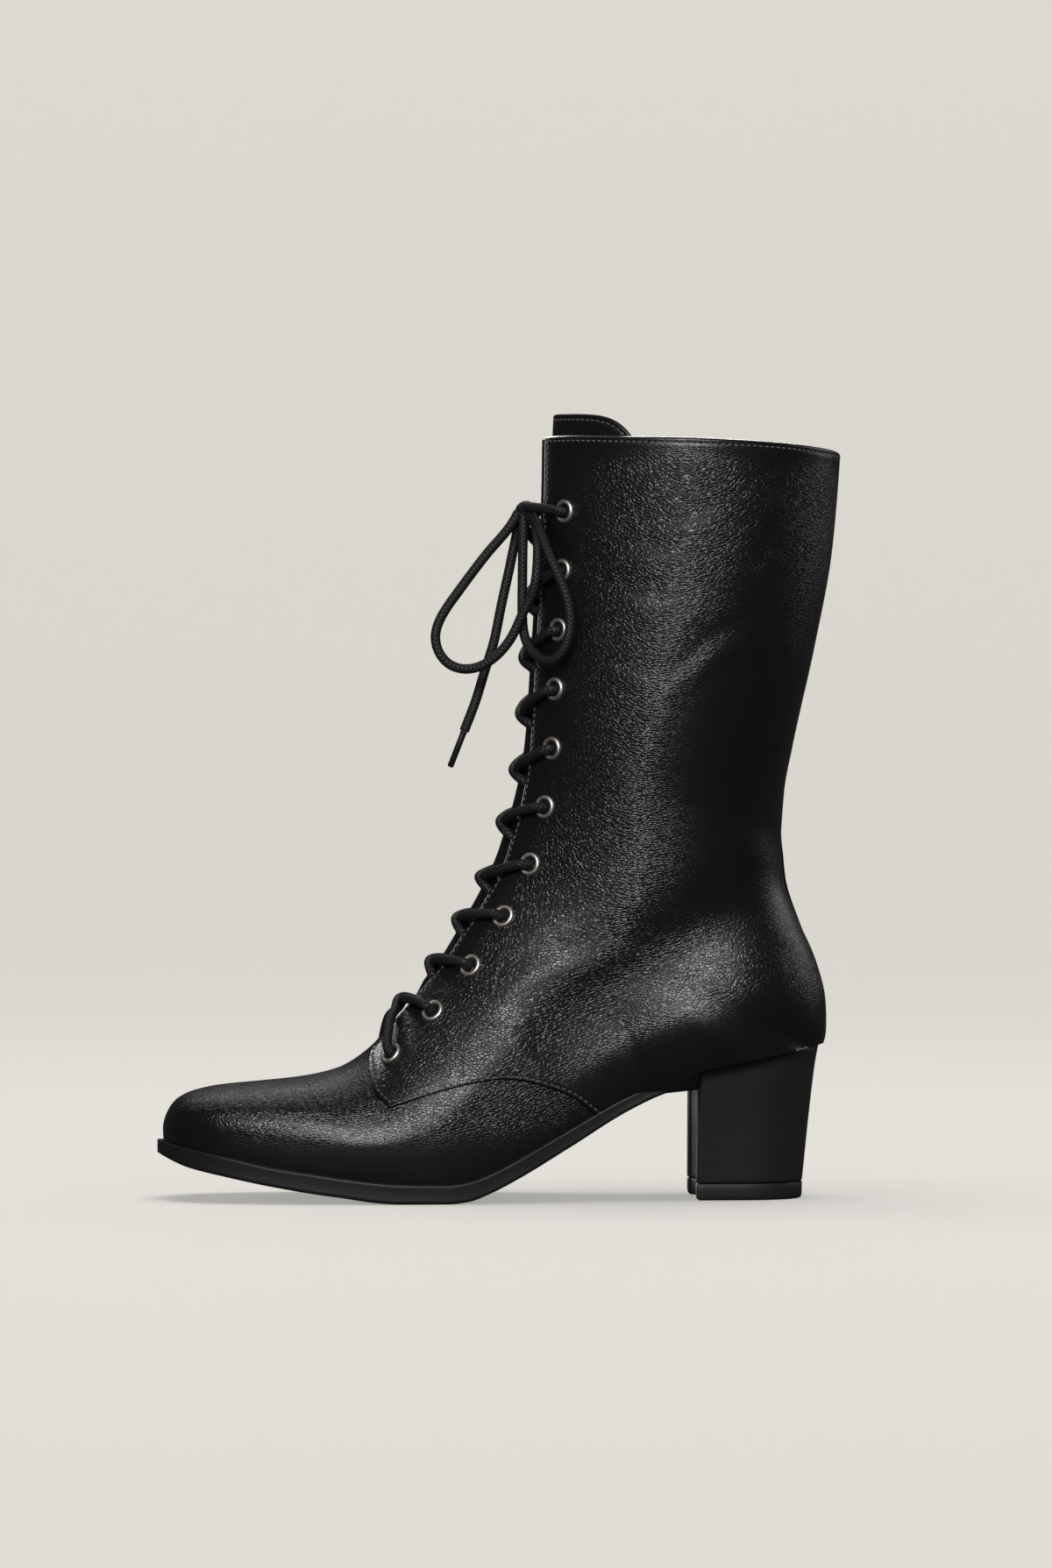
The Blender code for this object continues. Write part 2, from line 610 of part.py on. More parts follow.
def eyelet_holes_mesh():
    """All the eyelet holes as one cutter."""
    bm = bmesh.new()
    for station in EYELETS:
        for side in (-1, 1):
            bmesh.ops.create_cone(
                bm,
                cap_ends=True,
                segments=EYELET_SIDES,
                radius1=(EYELET_BARREL_RADIUS + HOLE_CLEARANCE) * MM,
                radius2=(EYELET_BARREL_RADIUS + HOLE_CLEARANCE) * MM,
                depth=4 * QUARTER_WALL * MM,
                matrix=eyelet_frame(station, side),
            )
    return mesh_from("eyelet_holes", bm)


def make_eyelets(parts, metal):
    """Turned eyelets: a domed flange on the quarter and a barrel through its wall."""
    profile = (
        (EYELET_HOLE_RADIUS, EYELET_HEIGHT),
        (EYELET_OUTER_RADIUS, EYELET_SEAT),
        (EYELET_BARREL_RADIUS, EYELET_SEAT),
        (EYELET_BARREL_RADIUS, -EYELET_BARREL_DEPTH),
        (EYELET_HOLE_RADIUS, -EYELET_BARREL_DEPTH),
    )
    bm = bmesh.new()
    corners = [bm.verts.new((radius * MM, 0.0, height * MM)) for radius, height in profile]
    for i, corner in enumerate(corners):
        bm.edges.new((corners[i - 1], corner))
    mesh = bpy.data.meshes.new("eyelet")
    bm.to_mesh(mesh)
    bm.free()
    mesh.materials.append(metal)
    for side, side_name in ((-1, "lateral"), (1, "medial")):
        for number, station in enumerate(EYELETS, start=1):
            eyelet = bpy.data.objects.new(f"eyelet_{side_name}_{number}", mesh)
            parts.objects.link(eyelet)
            eyelet.matrix_world = eyelet_frame(station, side)
            screw = eyelet.modifiers.new("turn", "SCREW")
            screw.steps = EYELET_SIDES
            screw.render_steps = EYELET_SIDES
            screw.use_merge_vertices = True
            screw.merge_threshold = 1e-5


def tube_object(name, points, radius, collection, sides_level):
    """Curve object along points in millimetres, with filled caps."""
    curve = bpy.data.curves.new(name, "CURVE")
    curve.dimensions = "3D"
    curve.bevel_depth = radius * MM
    curve.bevel_resolution = sides_level
    curve.use_fill_caps = True
    spline = curve.splines.new("POLY")
    spline.points.add(len(points) - 1)
    for place, point in zip(spline.points, points):
        place.co = (*(Vector(point) * MM), 1.0)
    tube = bpy.data.objects.new(name, curve)
    collection.objects.link(tube)
    return tube


def tube_mesh(name, points, radius, collection, sides_level):
    """The same tube as a closed mesh, with its caps welded on."""
    tube = tube_object(name, points, radius, collection, sides_level)
    evaluated = tube.evaluated_get(bpy.context.evaluated_depsgraph_get())
    bm = bmesh.new()
    bm.from_mesh(bpy.data.meshes.new_from_object(evaluated))
    bpy.data.objects.remove(tube, do_unlink=True)
    return mesh_from(name, bm)


def joined_strands(name, routes, parts, cutters, cord):
    """Two strands that cross, made one solid."""
    first = add_part(name, tube_mesh(name, routes[0], LACE_RADIUS, parts, 1), parts, cord)
    other = add_cutter(name + "_other", tube_mesh(name + "_other", routes[1], LACE_RADIUS, parts, 1), cutters)
    add_boolean(first, other, "UNION")


StrandPoint = namedtuple("StrandPoint", "down across height")

# One strand of a crossing: share of the way down to the next eyelet pair, distance from the front
# line towards the strand's own eyelet, and height above the last
STRAND = (
    StrandPoint(0.00, 23.0, 4.6),
    StrandPoint(0.11, 13.5, 4.4),
    StrandPoint(0.18, 9.2, 3.6),
    StrandPoint(0.27, 5.6, 1.9),
    StrandPoint(0.41, 0.0, 0.3),
    StrandPoint(0.55, -6.2, 0.2),
)

# A strand of the lowest crossing goes on over the other quarter to its eyelet
LOWEST_STRAND = (
    *STRAND[:5],
    StrandPoint(0.55, -5.6, 1.9),
    StrandPoint(0.64, -9.2, 3.6),
    StrandPoint(0.76, -13.5, 4.4),
    StrandPoint(1.00, -23.0, 4.6),
)


def make_lace_crossings(parts, cutters, cord):
    """Crossings between the second and the lowest pair, each of two strands over the tongue."""
    pairs = list(zip(EYELETS[1:], EYELETS[2:]))
    for number, (upper_station, lower_station) in enumerate(pairs, start=1):
        strand = STRAND if number < len(pairs) else LOWEST_STRAND
        routes = []
        for side, over in ((-1, 0.0), (1, STRAND_OVER)):
            routes.append([
                place_on_last(
                    upper_station + point.down * (lower_station - upper_station),
                    side * point.across,
                    point.height + over * (abs(point.across) < THROAT_HALF_GAP),
                )
                for point in strand
            ])
        joined_strands(f"lace_crossing_{number}", routes, parts, cutters, cord)


TOP_BAR = (
    StrandPoint(0.00, 23.0, 4.5),
    StrandPoint(-0.04, 16.0, 4.4),
    StrandPoint(-0.09, 10.0, 4.0),
    StrandPoint(-0.12, 5.0, 1.6),
    StrandPoint(-0.13, -2.0, -0.2),
)

# Knot of the bow and the routes of its loops and ends, hanging from the knot's underside
KNOT_CENTRE = (7.2, -0.5, 262.3)
KNOT_HALF_SIZE = (4.2, 5.2, 4.6)
LOOP_FRONT = (
    (3.2, 0.3, 257.2),
    (-2.8, -2.6, 249.6),
    (-10.6, -4.8, 239.4),
    (-18.3, -6.4, 228.7),
    (-23.6, -7.6, 219.8),
    (-25.2, -8.2, 213.5),
    (-23.8, -8.8, 207.3),
    (-20.0, -9.4, 202.4),
    (-14.8, -10.0, 200.2),
    (-8.6, -10.8, 201.2),
    (-2.2, -13.4, 205.2),
    (2.8, -16.2, 210.5),
    (6.2, -18.6, 216.2),
    (10.0, -21.8, 225.8),
    (11.6, -23.0, 235.1),
    (12.0, -21.4, 242.7),
    (11.2, -14.4, 250.2),
    (10.2, -6.6, 256.2),
)
LOOP_LATERAL = (
    (5.6, -4.4, 256.6),
    (5.6, -6.0, 246.0),
    (5.4, -7.6, 235.0),
    (5.2, -9.4, 225.0),
    (5.4, -11.0, 215.5),
    (7.0, -14.4, 208.2),
    (11.4, -21.0, 203.4),
    (17.2, -26.4, 203.6),
    (21.0, -28.6, 208.0),
    (22.2, -29.4, 215.4),
    (20.2, -29.2, 226.4),
    (17.0, -28.6, 239.0),
    (13.4, -21.6, 250.4),
    (10.8, -12.4, 256.4),
)
END_FRONT = (
    (6.2, 3.2, 257.8),
    (4.6, 5.2, 249.0),
    (3.0, 5.0, 238.3),
    (1.2, 4.4, 229.0),
    (-0.7, 3.6, 219.8),
    (-4.0, 2.4, 206.8),
    (-7.0, 1.4, 196.9),
    (-10.6, 0.6, 185.3),
    (-13.6, 0.0, 176.6),
)
END_MEDIAL = (
    (9.4, 5.0, 259.0),
    (9.8, 9.0, 254.5),
    (13.2, 15.0, 250.2),
    (17.8, 21.2, 246.2),
    (22.4, 26.4, 241.4),
    (24.4, 28.8, 234.0),
    (24.9, 29.6, 225.0),
    (24.8, 29.8, 214.0),
    (24.5, 29.9, 203.0),
    (24.0, 30.0, 192.0),
    (23.7, 29.9, 184.0),
)


def make_top_bar(parts, cutters, cord):
    """Lace from the two top eyelets, meeting behind the knot."""
    first, second = EYELETS[0], EYELETS[1]
    routes = []
    for side, over in ((-1, 0.0), (1, TOP_BAR_OVER)):
        routes.append([
            place_on_last(first + point.down * (second - first), side * point.across, point.height + over)
            for point in TOP_BAR
        ])
    joined_strands("lace_top_bar", routes, parts, cutters, cord)


def make_bow(parts, cord, tip):
    """Knot, two loops and two ends with their aglets."""
    bm = bmesh.new()
    around, levels = KNOT_GRID
    bmesh.ops.create_uvsphere(bm, u_segments=around, v_segments=levels, radius=MM)
    bmesh.ops.scale(bm, vec=KNOT_HALF_SIZE, verts=bm.verts)
    bmesh.ops.translate(bm, vec=Vector(KNOT_CENTRE) * MM, verts=bm.verts)
    add_part("lace_knot", mesh_from("lace_knot", bm), parts, cord)
    routes = {
        "lace_loop_front": LOOP_FRONT,
        "lace_loop_lateral": LOOP_LATERAL,
        "lace_end_front": END_FRONT,
        "lace_end_medial": END_MEDIAL,
    }
    for name, route in routes.items():
        tube = tube_object(name, smooth_line(route, 1), LACE_RADIUS, parts, 2)
        tube.data.materials.append(cord)
    for name, route in (("aglet_front", END_FRONT), ("aglet_medial", END_MEDIAL)):
        end, before = Vector(route[-1]), Vector(route[-2])
        way = (end - before).normalized()
        middle = end + way * (GAP + AGLET_LENGTH / 2)
        bpy.ops.mesh.primitive_cylinder_add(
            vertices=AGLET_SIDES, radius=AGLET_RADIUS * MM, depth=AGLET_LENGTH * MM
        )
        aglet = bpy.context.object
        aglet.name = name
        aglet.data.materials.append(tip)
        turned = way.to_track_quat("Z", "Y").to_matrix().to_4x4()
        aglet.matrix_world = Matrix.Translation(middle * MM) @ turned
        for collection in list(aglet.users_collection):
            collection.objects.unlink(aglet)
        parts.objects.link(aglet)


def main():
    clear_scene()
    parts = new_collection("lace_up_boot")
    cutters = new_collection("cutters")
    leather = new_material("black_leather", (0.016, 0.015, 0.015), 0.42)
    board = new_material("insole_leather", (0.03, 0.028, 0.027), 0.7)
    rubber = new_material("black_rubber", (0.018, 0.018, 0.018), 0.6)
    stack = new_material("heel_stack", (0.014, 0.013, 0.013), 0.5)
    metal = new_material("eyelet_nickel", (0.42, 0.40, 0.37), 0.32, 1.0)
    cord = new_material("lace_cord", (0.012, 0.012, 0.012), 0.75)
    tip = new_material("lace_tip", (0.015, 0.015, 0.015), 0.35)
    make_upper(parts, cutters, leather)
    make_tongue(parts, leather)
    make_insole(parts, cutters, board)
    make_outsole(parts, rubber)
    make_heel(parts, stack)
    make_top_lift(parts, rubber)
    make_eyelets(parts, metal)
    make_lace_crossings(parts, cutters, cord)
    make_top_bar(parts, cutters, cord)
    make_bow(parts, cord, tip)


main()
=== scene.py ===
"""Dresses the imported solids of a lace-up boot for a left foot with leather, laces, metal and rubber.

Frame: toe towards -X, outer (lateral) side towards -Y, +Z up, floor at z = 0, in metres.
The boot's sizes and tables are in millimetres, and MM turns them into metres where a mesh is made.
Those of the stage are in metres.

The last is a fan of flat sections. Each section runs in side view from a point on the front line
(toe top, instep, shin) to a point on the back line (feather edge, heel back, calf). A point on the
last has a station, the distance along the fan, and an angle round the section: 0 on the front line,
-pi on the back line round the lateral side and +pi round the medial one.
"""

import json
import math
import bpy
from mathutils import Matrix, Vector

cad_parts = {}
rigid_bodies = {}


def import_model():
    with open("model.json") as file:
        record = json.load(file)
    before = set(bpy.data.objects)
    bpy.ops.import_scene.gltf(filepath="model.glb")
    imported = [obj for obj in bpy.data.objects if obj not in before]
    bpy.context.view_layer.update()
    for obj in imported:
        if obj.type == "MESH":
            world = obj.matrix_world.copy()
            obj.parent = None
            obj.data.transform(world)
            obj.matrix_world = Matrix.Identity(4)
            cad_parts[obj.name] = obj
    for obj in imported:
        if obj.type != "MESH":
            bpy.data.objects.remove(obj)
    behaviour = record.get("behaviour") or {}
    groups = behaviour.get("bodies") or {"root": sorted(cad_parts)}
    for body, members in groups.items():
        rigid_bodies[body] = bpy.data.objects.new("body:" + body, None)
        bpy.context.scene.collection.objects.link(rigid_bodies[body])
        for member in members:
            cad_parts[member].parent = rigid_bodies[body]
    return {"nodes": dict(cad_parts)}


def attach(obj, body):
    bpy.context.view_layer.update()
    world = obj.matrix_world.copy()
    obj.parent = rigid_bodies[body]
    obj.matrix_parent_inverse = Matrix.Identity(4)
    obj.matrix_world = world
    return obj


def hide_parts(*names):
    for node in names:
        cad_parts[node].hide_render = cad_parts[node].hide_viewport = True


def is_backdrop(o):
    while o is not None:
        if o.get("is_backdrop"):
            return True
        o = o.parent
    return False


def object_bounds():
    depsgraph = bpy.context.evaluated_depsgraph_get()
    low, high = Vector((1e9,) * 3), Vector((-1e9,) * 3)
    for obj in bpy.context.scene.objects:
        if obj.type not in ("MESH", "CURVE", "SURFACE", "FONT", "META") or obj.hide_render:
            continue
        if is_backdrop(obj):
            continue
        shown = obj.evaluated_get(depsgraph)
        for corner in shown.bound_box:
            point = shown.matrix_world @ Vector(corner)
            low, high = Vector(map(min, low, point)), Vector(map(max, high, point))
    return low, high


bl_info = {
    "name": "Lace-up boot",
    "version": (1, 0, 0),
    "blender": (4, 5, 0),
    "location": "View3D > Sidebar > Boot",
    "description": "Builds the leather, lace, eyelets, sole and heel of a lace-up boot over its solids",
    "category": "Object",
}

from collections import namedtuple

import bmesh
import bpy
import numpy as np
from mathutils import Vector

for item in list(bpy.data.objects):
    bpy.data.objects.remove(item, do_unlink=True)
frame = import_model()
CAD_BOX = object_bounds()

MM = 0.001
SIDES = ((-1, "lateral"), (1, "medial"))

# Wall, throat, eyelets and lace
VAMP_WALL = 1.8
THROAT_HALF_GAP = 9.5
EYELET_PAIRS = 11
EYELET_PITCH = 22.3
EYELET_INSET = 13.5
FIRST_EYELET_BELOW_COLLAR = 28.4
EYELET_ROW_TOP_Z = 288.0
EYELET_HOLE_RADIUS = 2.7
EYELET_BARREL_RADIUS = 3.05
EYELET_BARREL_DEPTH = 2.2
EYELET_DOME = 0.95
EYELET_SINK = 0.3
AGLET_RADIUS = 1.2
AGLET_LENGTH = 14.5
CORD_SPACING = 0.5
PIECE_GAP = 0.3

# Tongue. Its lean starts at a share of the way up, and its bulge starts, is full, starts to fall and
# ends at four such shares
TONGUE_THICKNESS = 1.6
TONGUE_GAP = 1.2
TONGUE_START_X = -60.0
TONGUE_TOP_Z = 296.6
TONGUE_HALF_WIDTH_LOW = 22.0
TONGUE_HALF_WIDTH_TOP = 46.0
TONGUE_LATERAL_SHIFT = 8.0
TONGUE_CORNER_DROP = 16.0
TONGUE_CORNER_POWER = 6
TONGUE_LEAN_START = 0.78
TONGUE_LEAN_AT_TOP = 2.4
TONGUE_STITCH_INSET = 2.2
TONGUE_BULGE = 2.8
TONGUE_BULGE_HALF_WIDTH = 7.5
TONGUE_BULGE_SPAN = (0.09, 0.15, 0.78, 0.9)

# Sole and heel. The sole's edge is inset by no more than a share of its width, and the power crowds
# its sections towards the toe. The heel's back rounds off from a share of its length on, and the
# hollow of its breast takes up a share of its width
SOLE_MARGIN = 2.2
SOLE_INSET_SHARE = 0.3
TOE_CROWDING = 1.25
HEEL_BREAST_X = 72.4
HEEL_LIFT_HEIGHT = 6.3
HEEL_BREAST_HOLLOW = 3.0
HEEL_HOLLOW_STEP = 0.7
HEEL_HOLLOW_SHARE = 0.74
HEEL_CORNER_RADIUS = 0.8
HEEL_ROUND_SHARE = 0.42
HEEL_ROUND_POWER = 0.9
HEEL_SEAT_FRONT = (72.4, 48.6)
HEEL_SEAT_BACK = (121.0, 58.2)
SEAT_GAP = 0.2

Section = namedtuple(
    "Section",
    "front_x front_z back_x back_z lateral medial widest nose seat fullness swing",
)

# One row for each flat section of the last, from the toe tip, round the heel, to above the collar: its
# two ends in side view, its half widths, the share of the way at which it is widest, how pointed its
# front is (nose), how wide it still is at its back end (seat), the power of the curve between them
# (fullness), and its shift across the boot (swing)
LAST = (
    Section(-127.8, 26.8, -127.6, 20.7, 2.2, 2.2, 0.60, -0.20, 0.97, 2.4, 3.6),
    Section(-127.3, 29.6, -127.0, 20.6, 6.8, 6.8, 0.60, -0.20, 0.97, 2.4, 3.6),
    Section(-125.8, 33.4, -125.3, 20.4, 12.3, 12.3, 0.60, -0.20, 0.97, 2.4, 3.5),
    Section(-122.6, 37.6, -122.2, 19.7, 18.2, 18.2, 0.61, -0.20, 0.97, 2.4, 3.4),
    Section(-116.5, 40.8, -116.5, 18.3, 24.6, 24.6, 0.61, -0.20, 0.97, 2.4, 3.2),
    Section(-106.0, 43.1, -106.0, 16.2, 31.0, 31.0, 0.62, -0.18, 0.97, 2.4, 2.8),
    Section(-92.0, 44.5, -92.0, 12.8, 35.3, 35.3, 0.62, -0.15, 0.97, 2.4, 2.2),
    Section(-76.0, 46.2, -75.0, 10.3, 38.3, 38.3, 0.64, -0.10, 0.97, 2.4, 1.4),
    Section(-62.0, 49.4, -58.0, 7.7, 40.0, 40.0, 0.66, 0.12, 0.96, 2.4, 0.6),
    Section(-48.5, 58.3, -42.0, 5.9, 40.5, 40.5, 0.68, 0.38, 0.96, 2.4, -0.2),
    Section(-37.7, 72.6, -22.0, 5.4, 40.0, 39.0, 0.66, 0.42, 0.95, 2.4, -1.0),
    Section(-30.0, 82.0, 0.0, 12.3, 37.5, 36.5, 0.60, 0.42, 0.93, 2.2, -1.2),
    Section(-22.0, 92.6, 25.0, 26.1, 35.0, 34.5, 0.52, 0.40, 0.87, 2.0, -0.8),
    Section(-16.0, 102.6, 50.0, 40.0, 34.0, 34.0, 0.46, 0.38, 0.82, 1.9, -0.4),
    Section(-11.2, 110.6, 75.0, 44.5, 34.5, 34.5, 0.42, 0.38, 0.82, 1.9, 0.0),
    Section(-7.3, 117.8, 97.0, 48.5, 35.0, 35.0, 0.41, 0.38, 0.81, 1.9, 0.0),
    Section(-4.9, 122.6, 112.8, 51.5, 35.3, 35.3, 0.40, 0.38, 0.56, 2.0, 0.0),
    Section(-2.9, 127.0, 120.2, 56.2, 35.5, 35.5, 0.40, 0.37, 0.0, 2.5, 0.0),
    Section(-1.2, 131.4, 121.8, 64.0, 35.7, 35.7, 0.41, 0.37, 0.0, 2.4, 0.0),
    Section(0.6, 137.0, 121.4, 74.0, 36.0, 36.0, 0.42, 0.36, 0.0, 2.3, 0.0),
    Section(3.2, 145.0, 118.6, 88.0, 36.3, 36.3, 0.43, 0.36, 0.0, 2.2, 0.0),
    Section(5.7, 154.5, 112.6, 105.5, 36.8, 36.8, 0.44, 0.36, 0.0, 2.2, 0.0),
    Section(7.4, 162.5, 107.8, 122.0, 37.6, 37.6, 0.45, 0.36, 0.0, 2.2, 0.0),
    Section(8.7, 171.0, 105.7, 138.4, 38.6, 38.6, 0.46, 0.35, 0.0, 2.1, 0.0),
    Section(9.7, 182.0, 106.6, 153.5, 40.2, 40.2, 0.47, 0.34, 0.0, 2.1, 0.0),
    Section(10.5, 195.0, 110.0, 172.0, 42.0, 42.0, 0.48, 0.34, 0.0, 2.1, 0.0),
    Section(12.2, 222.0, 118.2, 209.0, 44.2, 44.2, 0.49, 0.34, 0.0, 2.1, 0.0),
    Section(14.0, 255.0, 124.8, 245.0, 45.4, 45.4, 0.50, 0.34, 0.0, 2.1, 0.0),
    Section(14.6, 288.0, 128.0, 282.0, 46.0, 46.0, 0.50, 0.34, 0.0, 2.1, 0.0),
    Section(14.6, 312.0, 129.5, 306.0, 46.2, 46.2, 0.50, 0.34, 0.0, 2.1, 0.0),
)
HEEL_CLOSING_ROW = 17

SoleStation = namedtuple("SoleStation", "x top bottom")

# Side view of the outsole: its top is the feather line that the upper stands on
SOLE = (
    SoleStation(-130.0, 22.4, 17.8),
    SoleStation(-119.0, 20.3, 13.2),
    SoleStation(-106.0, 17.6, 10.2),
    SoleStation(-90.0, 13.9, 6.9),
    SoleStation(-73.0, 11.2, 4.0),
    SoleStation(-60.0, 9.3, 2.2),
    SoleStation(-50.0, 8.1, 0.7),
    SoleStation(-40.0, 7.3, 0.0),
    SoleStation(-22.0, 7.1, 0.0),
    SoleStation(-14.0, 8.2, 0.9),
    SoleStation(-5.0, 11.4, 4.3),
    SoleStation(5.0, 16.5, 9.4),
    SoleStation(24.0, 27.2, 20.6),
    SoleStation(46.0, 39.5, 34.0),
    SoleStation(59.0, 45.0, 40.2),
    SoleStation(72.4, 48.6, 44.6),
)

EdgePoint = namedtuple("EdgePoint", "inset rise down")

# Profile of the outsole's edge from its top lip to its underside: inset from the edge, and rise above
# the level that lies a share of the way down from the top to the bottom
SOLE_EDGE = (
    EdgePoint(1.6, 0.0, 0.0),
    EdgePoint(0.45, 0.0, 0.0),
    EdgePoint(0.14, -0.14, 0.0),
    EdgePoint(0.0, -0.45, 0.0),
    EdgePoint(0.06, -1.2, 0.0),
    EdgePoint(0.1, 0.0, 0.5),
    EdgePoint(0.04, 1.5, 1.0),
    EdgePoint(0.0, 1.1, 1.0),
    EdgePoint(0.16, 0.62, 1.0),
    EdgePoint(0.55, 0.2, 1.0),
    EdgePoint(1.2, 0.0, 1.0),
)

HeelLevel = namedtuple("HeelLevel", "share breast_x back_x half_width")

# Heel block from the seat (share 0) to the seam of the top lift (share 1)
HEEL = (
    HeelLevel(0.0, 73.2, 120.6, 28.6),
    HeelLevel(0.12, 73.2, 119.4, 28.0),
    HeelLevel(0.5, 72.9, 117.0, 25.2),
    HeelLevel(1.0, 72.6, 114.4, 22.6),
)

# Bevels of the block's upper and lower edge: share of the way down, and inset
HEEL_TOP_BEVEL = ((0.0, 0.5), (0.004, 0.16), (0.012, 0.0))
HEEL_FOOT_BEVEL = ((0.993, 0.06), (0.998, 0.2), (1.0, 0.45))

# Edge of the top lift from its seam to the floor: height and inset
LIFT_EDGE = (
    (HEEL_LIFT_HEIGHT, 0.4),
    (6.2, 0.14),
    (6.0, 0.0),
    (4.0, 0.02),
    (2.0, 0.06),
    (1.0, 0.2),
    (0.45, 0.42),
    (0.15, 0.75),
    (0.0, 1.2),
)

# Side view of the quarters' edges: the front edge down to its corner, the arch seam and the collar
QUARTER_FRONT = ((-45.5, 61.0), (-50.3, 51.3), (-49.5, 42.5), (-43.6, 35.6))
QUARTER_ARCH = ((-43.6, 35.6), (-24.0, 42.1), (-1.0, 46.5), (21.8, 40.9), (34.0, 32.5))
COLLAR_LINE = (
    (0.0, 287.8),
    (20.0, 287.8),
    (43.0, 286.7),
    (70.0, 285.8),
    (105.0, 284.2),
    (122.0, 282.9),
    (140.0, 280.0),
)

# Stitches, and the quarters' rolled seam edge: its height in depths of a stitch groove, and its place
EDGE_STITCH_INSET = 2.0
SEAM_STITCH_INSET = 1.9
STITCH_GROOVE_DEPTH = 0.22
STITCH_GROOVE_HALF_WIDTH = 0.5
STITCH_HALF_WIDTH = 0.27
STITCH_HALF_LENGTH_SHARE = 0.33
STITCH_BLUNTNESS = 0.6
STITCH_SINK = 0.1
BAR_TACK_RISE = 0.15
ROLLED_EDGE = 1.4
ROLLED_EDGE_INSET = 0.9

# Distances from an edge at which a panel has a row of points, so that its rounding is smooth
EDGE_STEPS = np.array([0.0, 0.06, 0.22, 0.5, 0.9, 1.3, 1.7, 2.1, 2.6, 3.4])

# Radius of the rounding at each kind of edge, and the band along an edge in which folds fade out
SEAM_ROUND = 0.8
COLLAR_ROUND = 1.3
THROAT_ROUND = 1.2
FEATHER_ROUND = 0.6
VAMP_END_ROUND = 0.7
VAMP_FEATHER_ROUND = 0.5
TONGUE_ROUND = 0.8
FOLD_FADE = 6.0

# Rough lengths of the panels, by which distances from their edges become shares
QUARTER_GIRTH = 140.0
QUARTER_HEIGHT = 230.0
VAMP_LENGTH = 110.0
VAMP_UNDER_QUARTERS = 7.0
TONGUE_WIDTH = 80.0
TONGUE_LENGTH = 270.0

GrainFade = namedtuple("GrainFade", "start width least most")

# Where the leather's grain shows: it grows over a width from a start, between two shares. On the vamp
# and the quarters it grows with the height, above a smooth band that rises towards the heel
VAMP_GRAIN = GrainFade(14.0, 22.0, 0.15, 0.75)
QUARTER_GRAIN = GrainFade(26.0, 24.0, 0.08, 1.0)
TOWARDS_HEEL = GrainFade(5.0, 65.0, 0.0, 1.0)
SMOOTH_BAND_RISE = 34.0
QUARTER_EDGE_GRAIN = GrainFade(0.0, 12.0, 0.3, 1.0)
TONGUE_EDGE_GRAIN = GrainFade(0.0, 8.0, 0.2, 0.8)

# Smooth patch of the shaft over the calf in side view: middle, half widths and share of the grain lost
CALF_MIDDLE = (93.0, 160.0)
CALF_HALF_WIDTHS = (38.0, 62.0)
CALF_SMOOTHNESS = 0.8

Crease = namedtuple("Crease", "depth width ridge line")

# Creases of the lateral side in side view: depth and width of the trough, and the share of its
# depth that stands up as a ridge below it. The first is the ankle's fold, and the second, with a
# negative depth, the fullness of the heel counter under it
LATERAL_CREASES = (
    Crease(4.6, 16.0, 0.0, ((8.0, 57.0), (40.0, 79.2), (70.0, 98.8), (95.0, 113.2), (116.0, 124.0))),
    Crease(-3.6, 22.0, 0.0, ((48.0, 58.0), (70.0, 65.0), (88.0, 72.0), (106.0, 80.0), (121.0, 88.0))),
    Crease(0.7, 5.5, 0.6, ((-8.0, 84.0), (8.0, 92.0), (26.0, 96.0), (46.0, 104.0))),
    Crease(0.4, 3.4, 0.7, ((57.0, 252.0), (69.0, 256.5), (80.0, 262.5))),
    Crease(0.4, 3.4, 0.7, ((38.0, 246.8), (53.0, 245.0), (67.0, 245.6))),
    Crease(0.5, 3.6, 0.7, ((32.0, 234.8), (48.0, 229.0), (57.9, 227.0), (74.0, 230.2))),
    Crease(0.3, 2.6, 0.7, ((56.5, 217.6), (64.0, 221.5), (72.0, 226.4))),
    Crease(0.4, 3.0, 0.7, ((37.0, 203.0), (47.0, 200.4), (58.0, 198.8))),
    Crease(0.5, 3.8, 0.7, ((52.0, 192.0), (65.0, 201.5), (74.5, 210.3), (93.0, 219.6))),
    Crease(0.4, 3.4, 0.7, ((89.0, 234.0), (96.5, 245.6), (101.0, 255.6))),
)

# The medial side has fewer: the ankle's fold, the counter and two soft ones on the shaft
MEDIAL_CREASES = (
    Crease(4.2, 16.0, 0.0, ((10.0, 58.0), (46.0, 83.0), (70.0, 101.0), (110.0, 123.0))),
    Crease(-3.2, 22.0, 0.0, ((48.0, 58.0), (70.0, 65.0), (88.0, 72.0), (106.0, 80.0), (121.0, 88.0))),
    Crease(0.6, 3.2, 0.6, ((40.0, 231.0), (56.0, 227.0), (72.0, 230.0))),
    Crease(0.6, 3.4, 0.6, ((56.0, 196.0), (72.0, 207.0), (90.0, 216.0))),
)

# Power of the fade at a crease's ends, and distance and width of its ridge in widths of the trough
CREASE_END_FADE = 0.7
RIDGE_DISTANCE = 1.6
RIDGE_WIDTH = 1.2

StrandPoint = namedtuple("StrandPoint", "down across height")

# One strand of a crossing: share of the way down to the next eyelet pair, distance from the front
# line towards the strand's own eyelet, and height above the last
STRAND = (
    StrandPoint(0.00, 23.0, -3.4),
    StrandPoint(0.00, 23.0, 0.2),
    StrandPoint(0.03, 21.7, 2.8),
    StrandPoint(0.12, 18.0, 3.3),
    StrandPoint(0.24, 13.5, 3.2),
    StrandPoint(0.35, 9.4, 2.8),
    StrandPoint(0.46, 5.4, 2.0),
    StrandPoint(0.58, 0.0, 0.8),
    StrandPoint(0.69, -5.6, -0.5),
    StrandPoint(0.77, -9.4, -2.6),
    StrandPoint(0.82, -12.5, -3.6),
)

